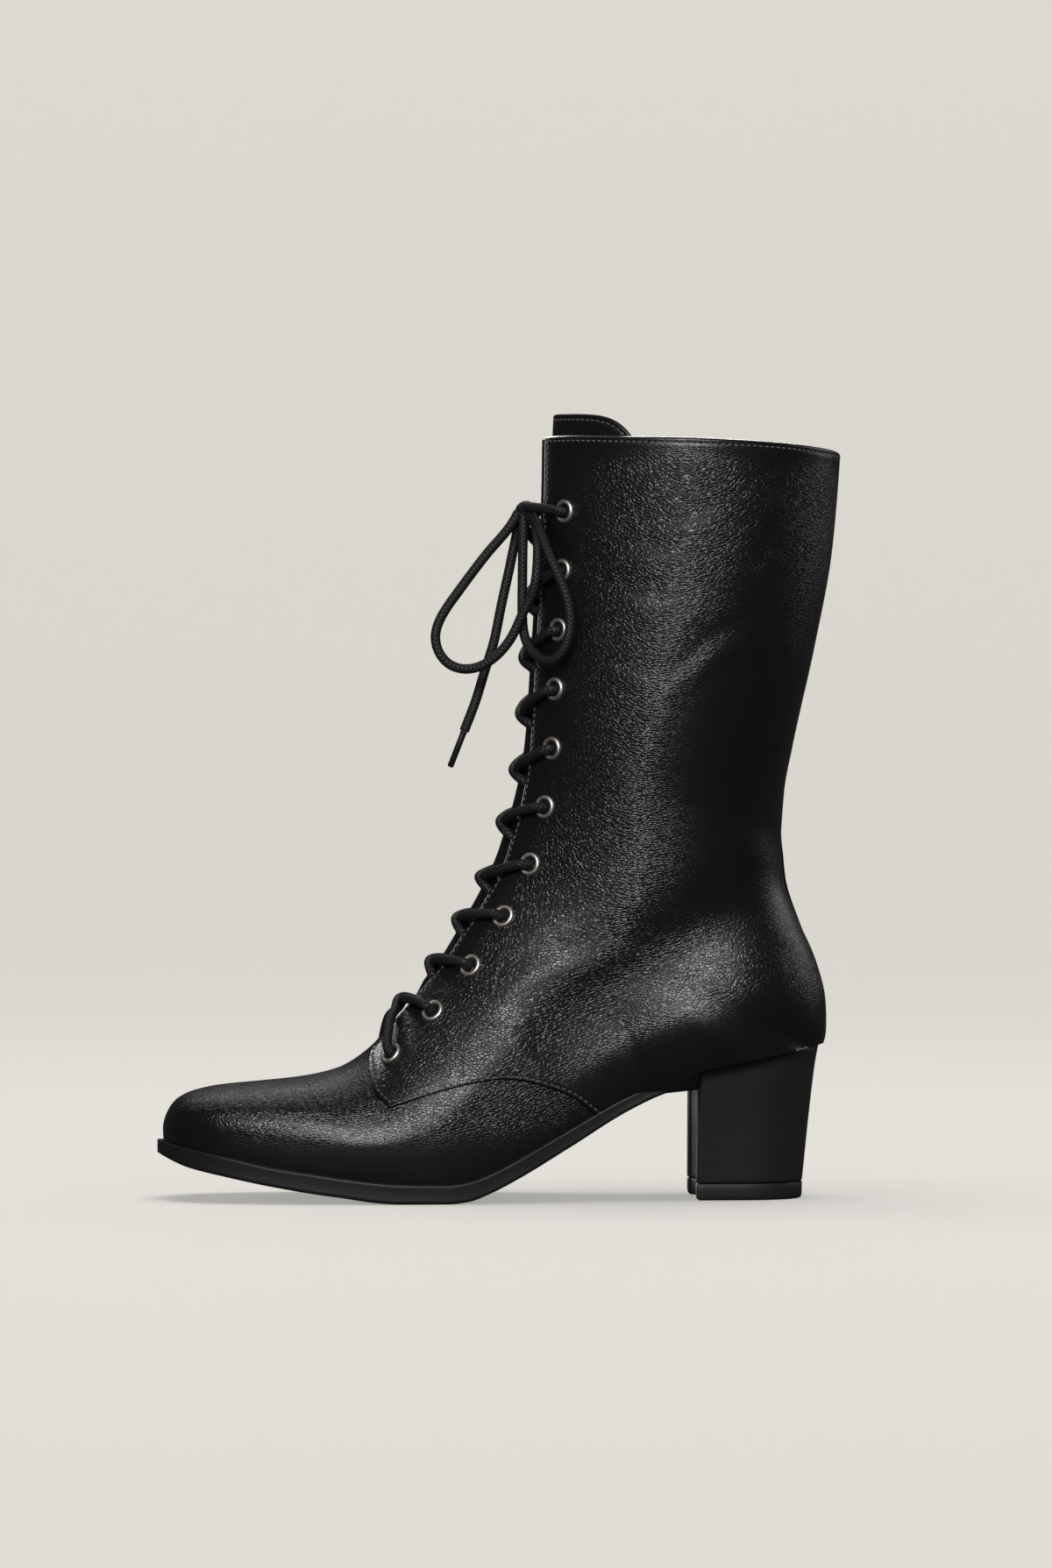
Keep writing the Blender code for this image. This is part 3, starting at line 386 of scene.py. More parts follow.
# A strand of the lowest crossing keeps the first rows, and then goes on over the other quarter and
# into its eyelet from outside
LOWEST_STRAND_END = (
    StrandPoint(0.68, -5.4, 1.3),
    StrandPoint(0.77, -9.4, 2.8),
    StrandPoint(0.86, -13.8, 3.3),
    StrandPoint(0.95, -18.4, 3.3),
    StrandPoint(0.99, -21.7, 2.8),
    StrandPoint(1.00, -23.0, 0.2),
    StrandPoint(1.00, -23.0, -3.4),
)
LOWEST_STRAND_KEEPS = 8

# Rise of the upper strand where two strands cross, and half the width of the stretch that rises
STRAND_OVER = 1.5
OVER_HALF_WIDTH = 7.0

# A strand from a top eyelet up to the knot
TOP_STRAND = (
    StrandPoint(0.00, 23.0, -3.4),
    StrandPoint(0.00, 23.0, 0.2),
    StrandPoint(-0.01, 21.7, 2.8),
    StrandPoint(-0.03, 17.5, 3.3),
    StrandPoint(-0.045, 12.5, 3.8),
    StrandPoint(-0.06, 8.5, 4.4),
    StrandPoint(-0.07, 4.5, 5.2),
    StrandPoint(-0.08, 1.0, 5.6),
)

KnotTurn = namedtuple("KnotTurn", "first second tilt reference")

# Knot of the bow: half axes and tilt of its turns, and a direction out of each turn's plane
KNOT_CENTRE = (9.2, -0.8, 260.6)
KNOT_TURNS = (
    KnotTurn((1.8, -1.2, 0.2), (0.2, 0.3, 1.5), (0.0, 0.5, 0.0), (0.0, 1.0, 0.0)),
    KnotTurn((0.0, 2.7, 0.0), (0.3, 0.0, 1.4), (0.4, 0.0, 0.0), (1.0, 0.0, 0.0)),
    KnotTurn((1.7, 0.0, -0.3), (0.0, 2.6, 0.4), (0.0, 0.0, 0.4), (0.0, 0.0, 1.0)),
)

# Routes of the bow's loops and ends, which hang from the knot
LOOP_FRONT = (
    (6.6, -0.6, 259.6),
    (4.3, -1.4, 255.5),
    (-3.8, -2.8, 245.7),
    (-8.9, -4.8, 239.4),
    (-17.4, -6.4, 228.0),
    (-22.0, -7.4, 221.3),
    (-25.1, -8.2, 212.7),
    (-23.8, -8.9, 206.4),
    (-19.6, -9.4, 201.7),
    (-15.4, -10.0, 200.2),
    (-9.6, -10.9, 200.7),
    (-3.6, -12.6, 204.0),
    (3.6, -14.6, 212.6),
    (7.9, -16.5, 222.0),
    (10.9, -18.6, 228.4),
    (12.4, -20.0, 236.6),
    (13.0, -16.0, 247.6),
    (12.1, -8.0, 255.4),
    (9.4, -2.4, 259.6),
)
LOOP_LATERAL = (
    (8.6, -2.2, 259.4),
    (8.2, -4.6, 250.0),
    (7.9, -6.6, 240.0),
    (7.7, -8.2, 230.0),
    (7.6, -9.8, 220.0),
    (8.3, -13.0, 212.4),
    (10.6, -18.4, 206.8),
    (13.9, -23.6, 203.7),
    (17.7, -27.6, 203.1),
    (21.0, -30.0, 205.8),
    (23.3, -31.4, 210.5),
    (24.2, -32.0, 217.1),
    (23.7, -32.0, 223.3),
    (21.3, -31.0, 231.4),
    (18.2, -28.5, 239.0),
    (15.0, -20.5, 248.5),
    (12.6, -10.0, 256.2),
    (9.8, -3.2, 259.8),
)
END_FRONT = (
    (7.2, 0.6, 259.2),
    (6.7, 2.4, 254.7),
    (5.2, 4.0, 246.5),
    (3.4, 4.4, 237.7),
    (1.6, 4.4, 229.6),
    (0.0, 4.2, 222.1),
    (-2.5, 3.8, 210.2),
    (-6.0, 2.8, 199.2),
    (-9.4, 1.8, 188.2),
    (-11.9, 1.2, 181.6),
    (-13.8, 0.8, 176.8),
)
END_MEDIAL = (
    (9.4, 3.0, 259.2),
    (9.8, 9.0, 254.5),
    (13.2, 15.0, 250.2),
    (17.8, 21.2, 246.2),
    (22.4, 26.4, 241.4),
    (24.4, 28.8, 234.0),
    (24.9, 29.6, 225.0),
    (24.8, 29.8, 214.0),
    (24.5, 29.9, 203.0),
    (24.0, 30.0, 192.0),
    (23.7, 29.9, 184.0),
)

BowCord = namedtuple("BowCord", "name node route tip_node")

# Cords of the bow: each one's own name, its node, its route and the node of its tip if it has one
BOW_CORDS = (
    BowCord("front_loop", "lace_loop_front", LOOP_FRONT, None),
    BowCord("lateral_loop", "lace_loop_lateral", LOOP_LATERAL, None),
    BowCord("front_end", "lace_end_front", END_FRONT, "aglet_front"),
    BowCord("medial_end", "lace_end_medial", END_MEDIAL, "aglet_medial"),
)

# Two short rows of stitches that secure the quarter's front corner, in side view
BAR_TACK = (((-47.4, 45.6), (-42.8, 45.3)), ((-47.3, 43.4), (-42.7, 43.1)))

# Camera: level, at the height of the picture's middle, a little towards the toe, in metres; its lens
# and sensor are in millimetres
CAMERA_AIM = (0.0096, 0.0, 0.1567)
CAMERA_DISTANCE = 2.5
CAMERA_AZIMUTH = math.radians(-3.5)
CAMERA_LENS = 151.5
CAMERA_REACH = 50.0
SENSOR_LONG_SIDE = 36.0

# Round floor in metres: flat radius, radius of its bend and height of its rim. It gives off a share
# of its own colour, which grows from under the boot to a reach away from it
FLOOR_FLAT = 3.2
FLOOR_BEND = 1.8
FLOOR_RIM_Z = 2.4
FLOOR_GLOW = 0.49
BACKDROP_GLOW = 0.63
GLOW_REACH = 2.6

Lamp = namedtuple("Lamp", "name place aim size power lights mirrored")

# Soft lights: where they stand and point, in metres, their power in watts, the collection that says
# what they light (all if none) and whether the boot mirrors them. Only the top one lights the floor
BOOT_MIDDLE = (0.0, 0.0, 0.12)
LAMPS = (
    Lamp("key_softbox", (-0.4, -2.36, 1.5), BOOT_MIDDLE, (1.9, 1.0), 100.0, "unlit_floor", True),
    Lamp("back_softbox", (2.3, 0.9, 1.2), BOOT_MIDDLE, (1.4, 1.2), 12.0, "unlit_floor", True),
    Lamp("medial_fill", (-0.3, 1.9, 2.2), BOOT_MIDDLE, (1.9, 1.0), 13.0, "unlit_floor", True),
    Lamp("top_softbox", (0.0, 0.1, 2.4), (0.0, 0.0, 0.0), (1.9, 1.9), 29.0, None, False),
    Lamp("heel_rim", (-1.0, 2.2, 0.5), (0.08, 0.0, 0.03), (0.9, 0.7), 14.0, "lit_from_behind", True),
    Lamp("medial_softbox", (-0.3, 2.36, 1.5), BOOT_MIDDLE, (1.9, 1.0), 75.0, "lit_from_behind", True),
)
WORLD_COLOUR = (1.0, 0.985, 0.96, 1.0)
WORLD_STRENGTH = 0.04


class BootSizes(bpy.types.PropertyGroup):
    """Sizes of the boot's trim that a user may change."""

    quarter_step: bpy.props.FloatProperty(
        name="Quarter step",
        description="Height of the quarters above the vamp",
        default=0.001,
        unit="LENGTH",
    )
    eyelet_radius: bpy.props.FloatProperty(
        name="Eyelet radius",
        description="Outer radius of an eyelet's flange",
        default=0.0045,
        unit="LENGTH",
    )
    lace_radius: bpy.props.FloatProperty(
        name="Lace radius",
        description="Radius of the round braided lace",
        default=0.00185,
        unit="LENGTH",
    )
    stitch_pitch: bpy.props.FloatProperty(
        name="Stitch pitch",
        description="Distance from one stitch to the next",
        default=0.00245,
        unit="LENGTH",
    )
    crease_share: bpy.props.FloatProperty(
        name="Creases",
        description="Share of the creases' depth that the leather shows",
        default=1.0,
        subtype="FACTOR",
    )


class BootColours(bpy.types.PropertyGroup):
    """Colours of the boot and of the stage."""

    leather: bpy.props.FloatVectorProperty(
        name="Leather",
        description="Black of the upper",
        default=(0.0028, 0.0028, 0.0030),
        subtype="COLOR",
    )
    lining: bpy.props.FloatVectorProperty(
        name="Lining",
        description="Dark lining and insole",
        default=(0.022, 0.020, 0.019),
        subtype="COLOR",
    )
    thread: bpy.props.FloatVectorProperty(
        name="Thread",
        description="Sewing thread",
        default=(0.060, 0.060, 0.062),
        subtype="COLOR",
    )
    rubber: bpy.props.FloatVectorProperty(
        name="Rubber",
        description="Outsole and top lift",
        default=(0.0055, 0.0055, 0.0058),
        subtype="COLOR",
    )
    heel: bpy.props.FloatVectorProperty(
        name="Heel",
        description="Stacked heel block",
        default=(0.0065, 0.0065, 0.0067),
        subtype="COLOR",
    )
    metal: bpy.props.FloatVectorProperty(
        name="Metal",
        description="Nickel of the eyelets",
        default=(0.50, 0.46, 0.42),
        subtype="COLOR",
    )
    lace: bpy.props.FloatVectorProperty(
        name="Lace",
        description="Braided lace",
        default=(0.0036, 0.0036, 0.0038),
        subtype="COLOR",
    )
    floor: bpy.props.FloatVectorProperty(
        name="Floor",
        description="Pale floor and backdrop",
        default=(0.72, 0.705, 0.665),
        subtype="COLOR",
    )


def curve_through(knots, values, at):
    """Cubic through each column of values, with slopes that never overshoot the rows."""
    knots = np.asarray(knots, float)
    values = np.asarray(values, float)
    step = np.diff(knots)[:, None]
    slope = np.diff(values, axis=0) / step
    before, after = slope[:-1], slope[1:]
    same_way = before * after > 0
    share_before = 2 * step[1:] + step[:-1]
    share_after = step[1:] + 2 * step[:-1]
    safe_before = np.where(same_way, before, 1.0)
    safe_after = np.where(same_way, after, 1.0)
    mean = (share_before + share_after) / (share_before / safe_before + share_after / safe_after)
    tangent = np.vstack([slope[:1], np.where(same_way, mean, 0.0), slope[-1:]])
    at = np.clip(np.asarray(at, float), knots[0], knots[-1])
    left = np.clip(np.searchsorted(knots, at, side="right") - 1, 0, len(knots) - 2)
    width = step[left]
    u = (at - knots[left])[:, None] / width
    return (
        (1 + 2 * u) * (1 - u) ** 2 * values[left]
        + u * (1 - u) ** 2 * width * tangent[left]
        + u**2 * (3 - 2 * u) * values[left + 1]
        + u**2 * (u - 1) * width * tangent[left + 1]
    )


def unit(vectors):
    """Vectors of length one with the same directions."""
    return vectors / np.linalg.norm(vectors, axis=-1, keepdims=True)


def distance_along(points):
    """Running distance along a line of points."""
    return np.concatenate([[0.0], np.cumsum(np.linalg.norm(np.diff(points, axis=0), axis=1))])


def smooth_line(points, count):
    """Line of count points through a few given ones, by the distance between them."""
    points = np.array(points, float)
    knots = distance_along(points)
    return curve_through(knots, points, np.linspace(0.0, knots[-1], count))


def bent_cord(points):
    """Natural cubic spline through a cord's points, sampled evenly: its bends have no kinks.

    The second derivatives at the points solve the usual three-banded system, with none at the ends.
    """
    points = np.array(points, float)
    knots = distance_along(points)
    step = np.diff(knots)
    size = len(points)
    system = np.eye(size)
    right = np.zeros_like(points)
    inner = np.arange(1, size - 1)
    system[inner, inner - 1] = step[:-1]
    system[inner, inner] = 2 * (step[:-1] + step[1:])
    system[inner, inner + 1] = step[1:]
    slope = np.diff(points, axis=0) / step[:, None]
    right[1:-1] = 6 * (slope[1:] - slope[:-1])
    bend = np.linalg.solve(system, right)
    at = np.linspace(0.0, knots[-1], int(knots[-1] / CORD_SPACING) + 2)
    left = np.clip(np.searchsorted(knots, at, side="right") - 1, 0, size - 2)
    width = step[left][:, None]
    b = (at - knots[left])[:, None] / width
    a = 1 - b
    return (
        a * points[left]
        + b * points[left + 1]
        + ((a**3 - a) * bend[left] + (b**3 - b) * bend[left + 1]) * width**2 / 6
    )


def fan_knots():
    """Station of each row: the mean distance that its two ends have moved along the fan."""
    rows = np.array(LAST)
    front_step = np.linalg.norm(np.diff(rows[:, 0:2], axis=0), axis=1)
    back_step = np.linalg.norm(np.diff(rows[:, 2:4], axis=0), axis=1)
    return np.concatenate([[0.0], np.cumsum((front_step + back_step) / 2)])


KNOTS = fan_knots()
LAST_END = KNOTS[-1]


def last_rows(station):
    """The table's columns at an array of stations, each in the array's own shape."""
    station = np.asarray(station, float)
    return Section(*curve_through(KNOTS, LAST, station.ravel()).T.reshape((-1,) + station.shape))


def last_point(station, angle):
    """Point on the last for arrays of stations and signed angles, in millimetres.

    t is the share of the way from the front line to the back line. The half width follows a
    quarter ellipse, sharpened by the nose value, up to the widest place, and from there a
    superellipse down to the seat share.
    """
    station, angle = np.broadcast_arrays(station, angle)
    row = last_rows(station)
    t = (1 - np.cos(np.abs(angle))) / 2
    to_front = np.clip(1 - t / row.widest, 0, 1)
    nose_share = np.sqrt(1 - to_front**2) - row.nose * to_front**1.5 * np.sqrt(1 - to_front)
    to_back = np.clip((t - row.widest) / (1 - row.widest), 0, 1)
    seat_share = row.seat + (1 - row.seat) * (1 - to_back**row.fullness) ** (1 / row.fullness)
    half = np.where(angle < 0, -row.lateral, row.medial)
    x = row.front_x + (row.back_x - row.front_x) * t
    y = row.swing + half * np.where(t < row.widest, nose_share, seat_share)
    z = row.front_z + (row.back_z - row.front_z) * t
    return np.stack([x, y, z], axis=-1)


def last_normal(station, angle):
    """Outward unit normal: the cross product of the directions along the fan and round the section."""
    station, angle = np.broadcast_arrays(station, angle)
    small_step, small_turn = 0.05, 0.002
    along = last_point(np.minimum(station + small_step, LAST_END), angle)
    along -= last_point(np.maximum(station - small_step, 0.0), angle)
    across = last_point(station, np.minimum(angle + small_turn, math.pi))
    across -= last_point(station, np.maximum(angle - small_turn, -math.pi))
    return unit(np.cross(along, across))


def last_offset(station, angle, height):
    """Point at a height above the last."""
    return last_point(station, angle) + last_normal(station, angle) * np.asarray(height)[..., None]


def station_where(column, value):
    """Station at which a growing column of the table reaches a value."""
    fine = np.linspace(0.0, LAST_END, 1500)
    return float(np.interp(value, getattr(last_rows(fine), column), fine))


def fan_place(line):
    """Station and angle of side-view points.

    The station is found by halving: a point that is still ahead of a section lies on its left.
    """
    x, z = np.asarray(line, float).T
    low = np.zeros_like(x)
    high = np.full_like(x, LAST_END)
    for _ in range(40):
        middle = (low + high) / 2
        row = last_rows(middle)
        run_x, run_z = row.back_x - row.front_x, row.back_z - row.front_z
        ahead = run_x * (z - row.front_z) - run_z * (x - row.front_x) > 0
        low = np.where(ahead, middle, low)
        high = np.where(ahead, high, middle)
    t = ((x - row.front_x) * run_x + (z - row.front_z) * run_z) / (run_x**2 + run_z**2)
    return middle, np.arccos(np.clip(1 - 2 * t, -1, 1))


# Angle on the last at each millimetre from the front line, at even stations, for the two sides
ARC_STATIONS = np.linspace(0.0, LAST_END, 160)
ARC_REACH = np.linspace(0.0, 60.0, 121)


def arc_angles(side):
    """Table of one side's angles: a row for each station, a column for each distance."""
    turn = np.linspace(0.0, math.pi, 240)
    sections = last_point(ARC_STATIONS[:, None], side * turn[None, :])
    return np.array([np.interp(ARC_REACH, distance_along(section), turn) for section in sections])


ARC_ANGLES = {side: arc_angles(side) for side, _ in SIDES}


def angle_across(station, across):
    """Signed angle that lies a signed distance from the front line along the section."""
    station, across = np.broadcast_arrays(station, across)
    row = np.clip(station / ARC_STATIONS[1], 0, len(ARC_STATIONS) - 1.001)
    column = np.clip(np.abs(across) / ARC_REACH[1], 0, len(ARC_REACH) - 1.001)
    r, c = row.astype(int), column.astype(int)
    fr, fc = row - r, column - c
    found = np.zeros_like(row)
    for side, table in ARC_ANGLES.items():
        near = table[r, c] * (1 - fc) + table[r, c + 1] * fc
        far = table[r + 1, c] * (1 - fc) + table[r + 1, c + 1] * fc
        here = np.where(across < 0, -1, 1) == side
        found = np.where(here, side * (near * (1 - fr) + far * fr), found)
    return found


def place_on_last(station, across, height):
    """Points a distance from the front line along the section, at a height above the last."""
    return last_offset(station, angle_across(station, across), height)


def throat_angle(station, side):
    """Angle of the throat's edge, where the last is half the throat's gap from its middle plane."""
    turn = np.linspace(0.0, 1.25, 200)
    low = station_where("front_x", TONGUE_START_X)
    fine = np.linspace(low, LAST_END, 160)
    y = side * last_point(fine[:, None], side * turn[None, :])[..., 1]
    edge = [np.interp(THROAT_HALF_GAP, row, turn) for row in y]
    return np.interp(station, fine, edge)


def eyelet_stations():
    """Stations of the eyelet pairs, an even pitch apart along their own row, down from the collar."""
    fine = np.linspace(
        station_where("front_x", TONGUE_START_X), station_where("front_z", EYELET_ROW_TOP_Z), 160
    )
    row = place_on_last(fine, -(THROAT_HALF_GAP + EYELET_INSET), np.zeros_like(fine))
    arc = distance_along(row)
    below = FIRST_EYELET_BELOW_COLLAR + EYELET_PITCH * np.arange(EYELET_PAIRS)
    return np.interp(arc[-1] - below, arc, fine)


EYELETS = eyelet_stations()


def heel_seat_height(x):
    """Height of the slanted seat that the heel block carries."""
    rise = (HEEL_SEAT_BACK[1] - HEEL_SEAT_FRONT[1]) / (HEEL_SEAT_BACK[0] - HEEL_SEAT_FRONT[0])
    return HEEL_SEAT_FRONT[1] + rise * (x - HEEL_SEAT_FRONT[0])


def grid_quads(rows, columns, start=0, closed=False):
    """Corner numbers of a grid's faces; closed joins the last column to the first."""
    column = np.arange(columns if closed else columns - 1)
    after = (column + 1) % columns
    base = start + np.arange(rows - 1)[:, None] * columns
    corners = [base + column, base + columns + column, base + columns + after, base + after]
    return np.stack(corners, axis=-1).reshape(-1, 4)


def add_object(name, data):
    """Object with some data, linked to the scene."""
    made = bpy.data.objects.new(name, data)
    bpy.context.scene.collection.objects.link(made)
    return made


def add_piece(name, points, faces, material, uv=None, inner_from=None, inner_material=None, grain=None):
    """Mesh object from points in millimetres and faces, its doubled points merged, at the origin."""
    mesh = bpy.data.meshes.new(name)
    mesh.from_pydata((np.asarray(points, float).reshape(-1, 3) * MM).tolist(), [], faces.tolist())
    mesh.materials.append(material)
    if inner_from is not None:
        mesh.materials.append(inner_material)
        index = np.zeros(len(mesh.polygons), np.int32)
        index[inner_from:] = 1
        mesh.polygons.foreach_set("material_index", index)
    if uv is not None:
        corner = np.zeros(len(mesh.loops), np.int32)
        mesh.loops.foreach_get("vertex_index", corner)
        layer = mesh.uv_layers.new(name="UVMap")
        layer.data.foreach_set("uv", np.asarray(uv, np.float32).reshape(-1, 2)[corner].ravel())
    if grain is not None:
        layer = mesh.attributes.new("grain", "FLOAT", "POINT")
        layer.data.foreach_set("value", np.asarray(grain, np.float32).ravel())
    bm = bmesh.new()
    bm.from_mesh(mesh)
    merge_distance, shortest_edge = 0.004 * MM, 0.0001 * MM
    bmesh.ops.remove_doubles(bm, verts=bm.verts, dist=merge_distance)
    bmesh.ops.dissolve_degenerate(bm, edges=bm.edges, dist=shortest_edge)
    bm.to_mesh(mesh)
    bm.free()
    mesh.shade_smooth()
    piece = add_object(name, mesh)
    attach(piece, "root")
    return piece


def edge_round(distance, radius):
    """Share of the half thickness that a wall has at a distance from its rounded edge."""
    return np.sqrt(1 - (1 - np.clip(distance / radius, 0, 1)) ** 2)


def stitch_groove(distance, at):
    """Shallow groove that a row of stitches pulls into the leather: a bell across the row."""
    return -STITCH_GROOVE_DEPTH * np.exp(-(((distance - at) / STITCH_GROOVE_HALF_WIDTH) ** 2))


def crease_relief(x, z, creases):
    """Height of the listed creases: a soft trough along each line and a ridge beside it.

    The trough falls off as a bell with the distance from the line, and the line's ends fade out.
    """
    height = np.zeros_like(x)
    place = np.stack([x, z], axis=-1)
    for crease in creases:
        line = smooth_line(crease.line, 32)
        start, run = line[:-1], np.diff(line, axis=0)
        from_start = place[..., None, :] - start
        share = np.clip((from_start * run).sum(-1) / (run**2).sum(-1), 0, 1)
        off = from_start - share[..., None] * run
        away = np.linalg.norm(off, axis=-1)
        nearest = away.argmin(axis=-1)[..., None]
        side = np.sign(run[:, 0] * from_start[..., 1] - run[:, 1] * from_start[..., 0])
        distance = np.take_along_axis(away, nearest, -1)[..., 0]
        signed = distance * np.take_along_axis(side, nearest, -1)[..., 0]
        along = (nearest[..., 0] + np.take_along_axis(share, nearest, -1)[..., 0]) / len(run)
        fade = np.clip(np.sin(math.pi * along), 0, 1) ** CREASE_END_FADE
        trough = np.exp(-((distance / crease.width) ** 2))
        from_ridge = (signed + RIDGE_DISTANCE * crease.width) / (RIDGE_WIDTH * crease.width)
        ridge = np.exp(-(from_ridge**2))
        height += crease.depth * fade * (crease.ridge * ridge - trough)
    return height


def panel_lengths(points):
    """Distances from each of a grid's four borders, along its rows and columns."""
    down = np.linalg.norm(np.diff(points, axis=0), axis=-1)
    over = np.linalg.norm(np.diff(points, axis=1), axis=-1)
    from_first_row = np.vstack([np.zeros((1, points.shape[1])), np.cumsum(down, axis=0)])
    from_first_column = np.hstack([np.zeros((points.shape[0], 1)), np.cumsum(over, axis=1)])
    return (
        from_first_row,
        from_first_row[-1:] - from_first_row,
        from_first_column,
        from_first_column[:, -1:] - from_first_column,
    )


def spread(length, count):
    """Shares of a length from 0 to 1: the edge steps at both ends and even steps between them."""
    edge = EDGE_STEPS / length
    inside = np.linspace(edge[-1], 1 - edge[-1], count)
    return np.unique(np.concatenate([edge, inside, 1 - edge]))


def grain_share(value, fade):
    """Share of the grain that shows at a value, as a fade says."""
    return np.clip((value - fade.start) / fade.width, fade.least, fade.most)


def quarter_edge(lines, side):
    """A side-view edge of the quarter as station against its share u round from throat to back."""
    fine = np.vstack([smooth_line(line, 60) for line in lines])
    station, angle = fan_place(fine)
    front = throat_angle(station, side)
    u = np.clip((angle - front) / (math.pi - front), 0, 1)
    order = np.argsort(u, kind="stable")
    return u[order], station[order]


Panel = namedtuple("Panel", "station angle outer inner from_seam to_collar from_throat")


def quarter_panel(side, sizes):
    """Grid of one quarter: u round the section from the throat to the back, v from seam to collar.

    The station runs between the seam and the collar, the angle between the throat's edge and the
    back line. The outer and the inner height meet on the borders, so the two sheets close.
    """
    seam_u, seam_station = quarter_edge((QUARTER_FRONT, QUARTER_ARCH), side)
    collar_u, collar_station = quarter_edge((COLLAR_LINE,), side)
    corner_station, corner_angle = fan_place(QUARTER_ARCH[:1])
    corner_front = throat_angle(corner_station, side)
    corner_u = (corner_angle - corner_front) / (math.pi - corner_front)
    u = np.union1d(spread(QUARTER_GIRTH, 78), corner_u)[None, :]
    v = spread(QUARTER_HEIGHT, 150)[:, None]
    first = np.interp(u, seam_u, seam_station)
    last = np.interp(u, collar_u, collar_station)
    station = first + v * (last - first)
    front = throat_angle(station, side)
    angle = side * (front + u * (math.pi - front))
    base = last_point(station, angle)
    from_seam, to_collar, from_throat, to_feather = panel_lengths(base)
    to_feather = np.where(station < KNOTS[HEEL_CLOSING_ROW], to_feather, FEATHER_ROUND)
    body = np.minimum(
        np.minimum(edge_round(from_seam, SEAM_ROUND), edge_round(to_collar, COLLAR_ROUND)),
        np.minimum(edge_round(from_throat, THROAT_ROUND), edge_round(to_feather, FEATHER_ROUND)),
    )
    step = sizes.quarter_step / MM
    middle, half = (step - VAMP_WALL) / 2, (step + VAMP_WALL) / 2
    creases = LATERAL_CREASES if side < 0 else MEDIAL_CREASES
    relief = sizes.crease_share * crease_relief(base[..., 0], base[..., 2], creases)
    to_edge = np.minimum(from_seam, np.minimum(to_collar, from_throat))
    fold = relief * np.clip(to_edge / FOLD_FADE, 0, 1)
    grooves = (
        stitch_groove(from_seam, SEAM_STITCH_INSET)
        - ROLLED_EDGE * stitch_groove(from_seam, ROLLED_EDGE_INSET)
        + stitch_groove(to_collar, EDGE_STITCH_INSET)
        + stitch_groove(from_throat, EDGE_STITCH_INSET)
    )
    outer = middle + half * body + body * grooves + fold
    inner = middle - half * body + fold
    return Panel(station, angle, outer, inner, from_seam, to_collar, from_throat)


def seam_path(panel, distances, at):
    """Station and angle of the line that lies at a distance from one border of a panel."""
    near = np.abs(distances - at).argmin(axis=0)
    columns = np.arange(distances.shape[1])
    rows = np.clip(near, 1, distances.shape[0] - 2)
    before, after = distances[rows - 1, columns], distances[rows + 1, columns]
    share = np.clip((at - before) / (after - before), 0, 1)
    station = panel.station[rows - 1, columns] * (1 - share) + panel.station[rows + 1, columns] * share
    angle = panel.angle[rows - 1, columns] * (1 - share) + panel.angle[rows + 1, columns] * share
    return station, angle


def seat_trim(points):
    """Points of the upper, those under the heel's seat lifted on to it."""
    x, y, z = np.moveaxis(points, -1, 0)
    seat = np.where(x > HEEL_BREAST_X, heel_seat_height(x) + SEAT_GAP, 0.0)
    return np.stack([x, y, np.maximum(z, seat)], axis=-1)


def leather_piece(name, sheets, grains):
    """Piece from pairs of an outer and an inner grid of points; the inner grids get the lining.

    The third value of a pair says that its columns run the other way, so its faces are turned.
    """
    points, outer_faces, inner_faces = [], [], []
    count = 0
    for outer, inner, flipped in sheets:
        for grid, faces, turned in ((outer, outer_faces, flipped), (inner, inner_faces, not flipped)):
            rows, columns, _ = grid.shape
            quads = grid_quads(rows, columns, start=count)
            faces.append(quads[:, ::-1] if turned else quads)
            points.append(grid.reshape(-1, 3))
            count += rows * columns
    return add_piece(
        name,
        np.vstack(points),
        np.vstack(outer_faces + inner_faces),
        finish("leather"),
        inner_from=sum(len(faces) for faces in outer_faces),
        inner_material=finish("lining"),
        grain=np.concatenate([np.tile(grain.ravel(), 2) for grain in grains]),
    )


def tube_mesh(line, radius, reference, around=20):
    """Round tube along a line, closed at both ends: a circle across the line at each of its points."""
    along = unit(np.gradient(line, axis=0))
    sideways = unit(np.cross(along, reference))
    up = np.cross(sideways, along)
    arc = distance_along(line)
    turn = np.linspace(0.0, 2 * math.pi, around, endpoint=False)
    ring = np.cos(turn)[None, :, None] * sideways[:, None] + np.sin(turn)[None, :, None] * up[:, None]
    points = line[:, None] + radius * ring
    ends = [np.repeat(line[i][None, None], around, axis=1) for i in (0, -1)]
    points = np.concatenate([ends[0], points, ends[1]])
    arc = np.concatenate([arc[:1], arc, arc[-1:]])
    along_share, turn_share = arc[:, None] / (2 * math.pi * radius), turn / (2 * math.pi)
    uv = np.stack(np.broadcast_arrays(along_share, turn_share), axis=-1)
    return points.reshape(-1, 3), grid_quads(len(arc), around, closed=True)[:, ::-1], uv.reshape(-1, 2)


def joined(meshes):
    """Points and faces of several meshes as one mesh."""
    starts = np.cumsum([0] + [len(points) for points, _ in meshes])
    faces = [faces + start for (_, faces), start in zip(meshes, starts)]
    return np.vstack([points for points, _ in meshes]), np.vstack(faces)


def add_tubes(name, tubes, material):
    """Piece made of several tubes."""
    points, faces = joined([tube[:2] for tube in tubes])
    return add_piece(name, points, faces, material, uv=np.vstack([uv for _, _, uv in tubes]))


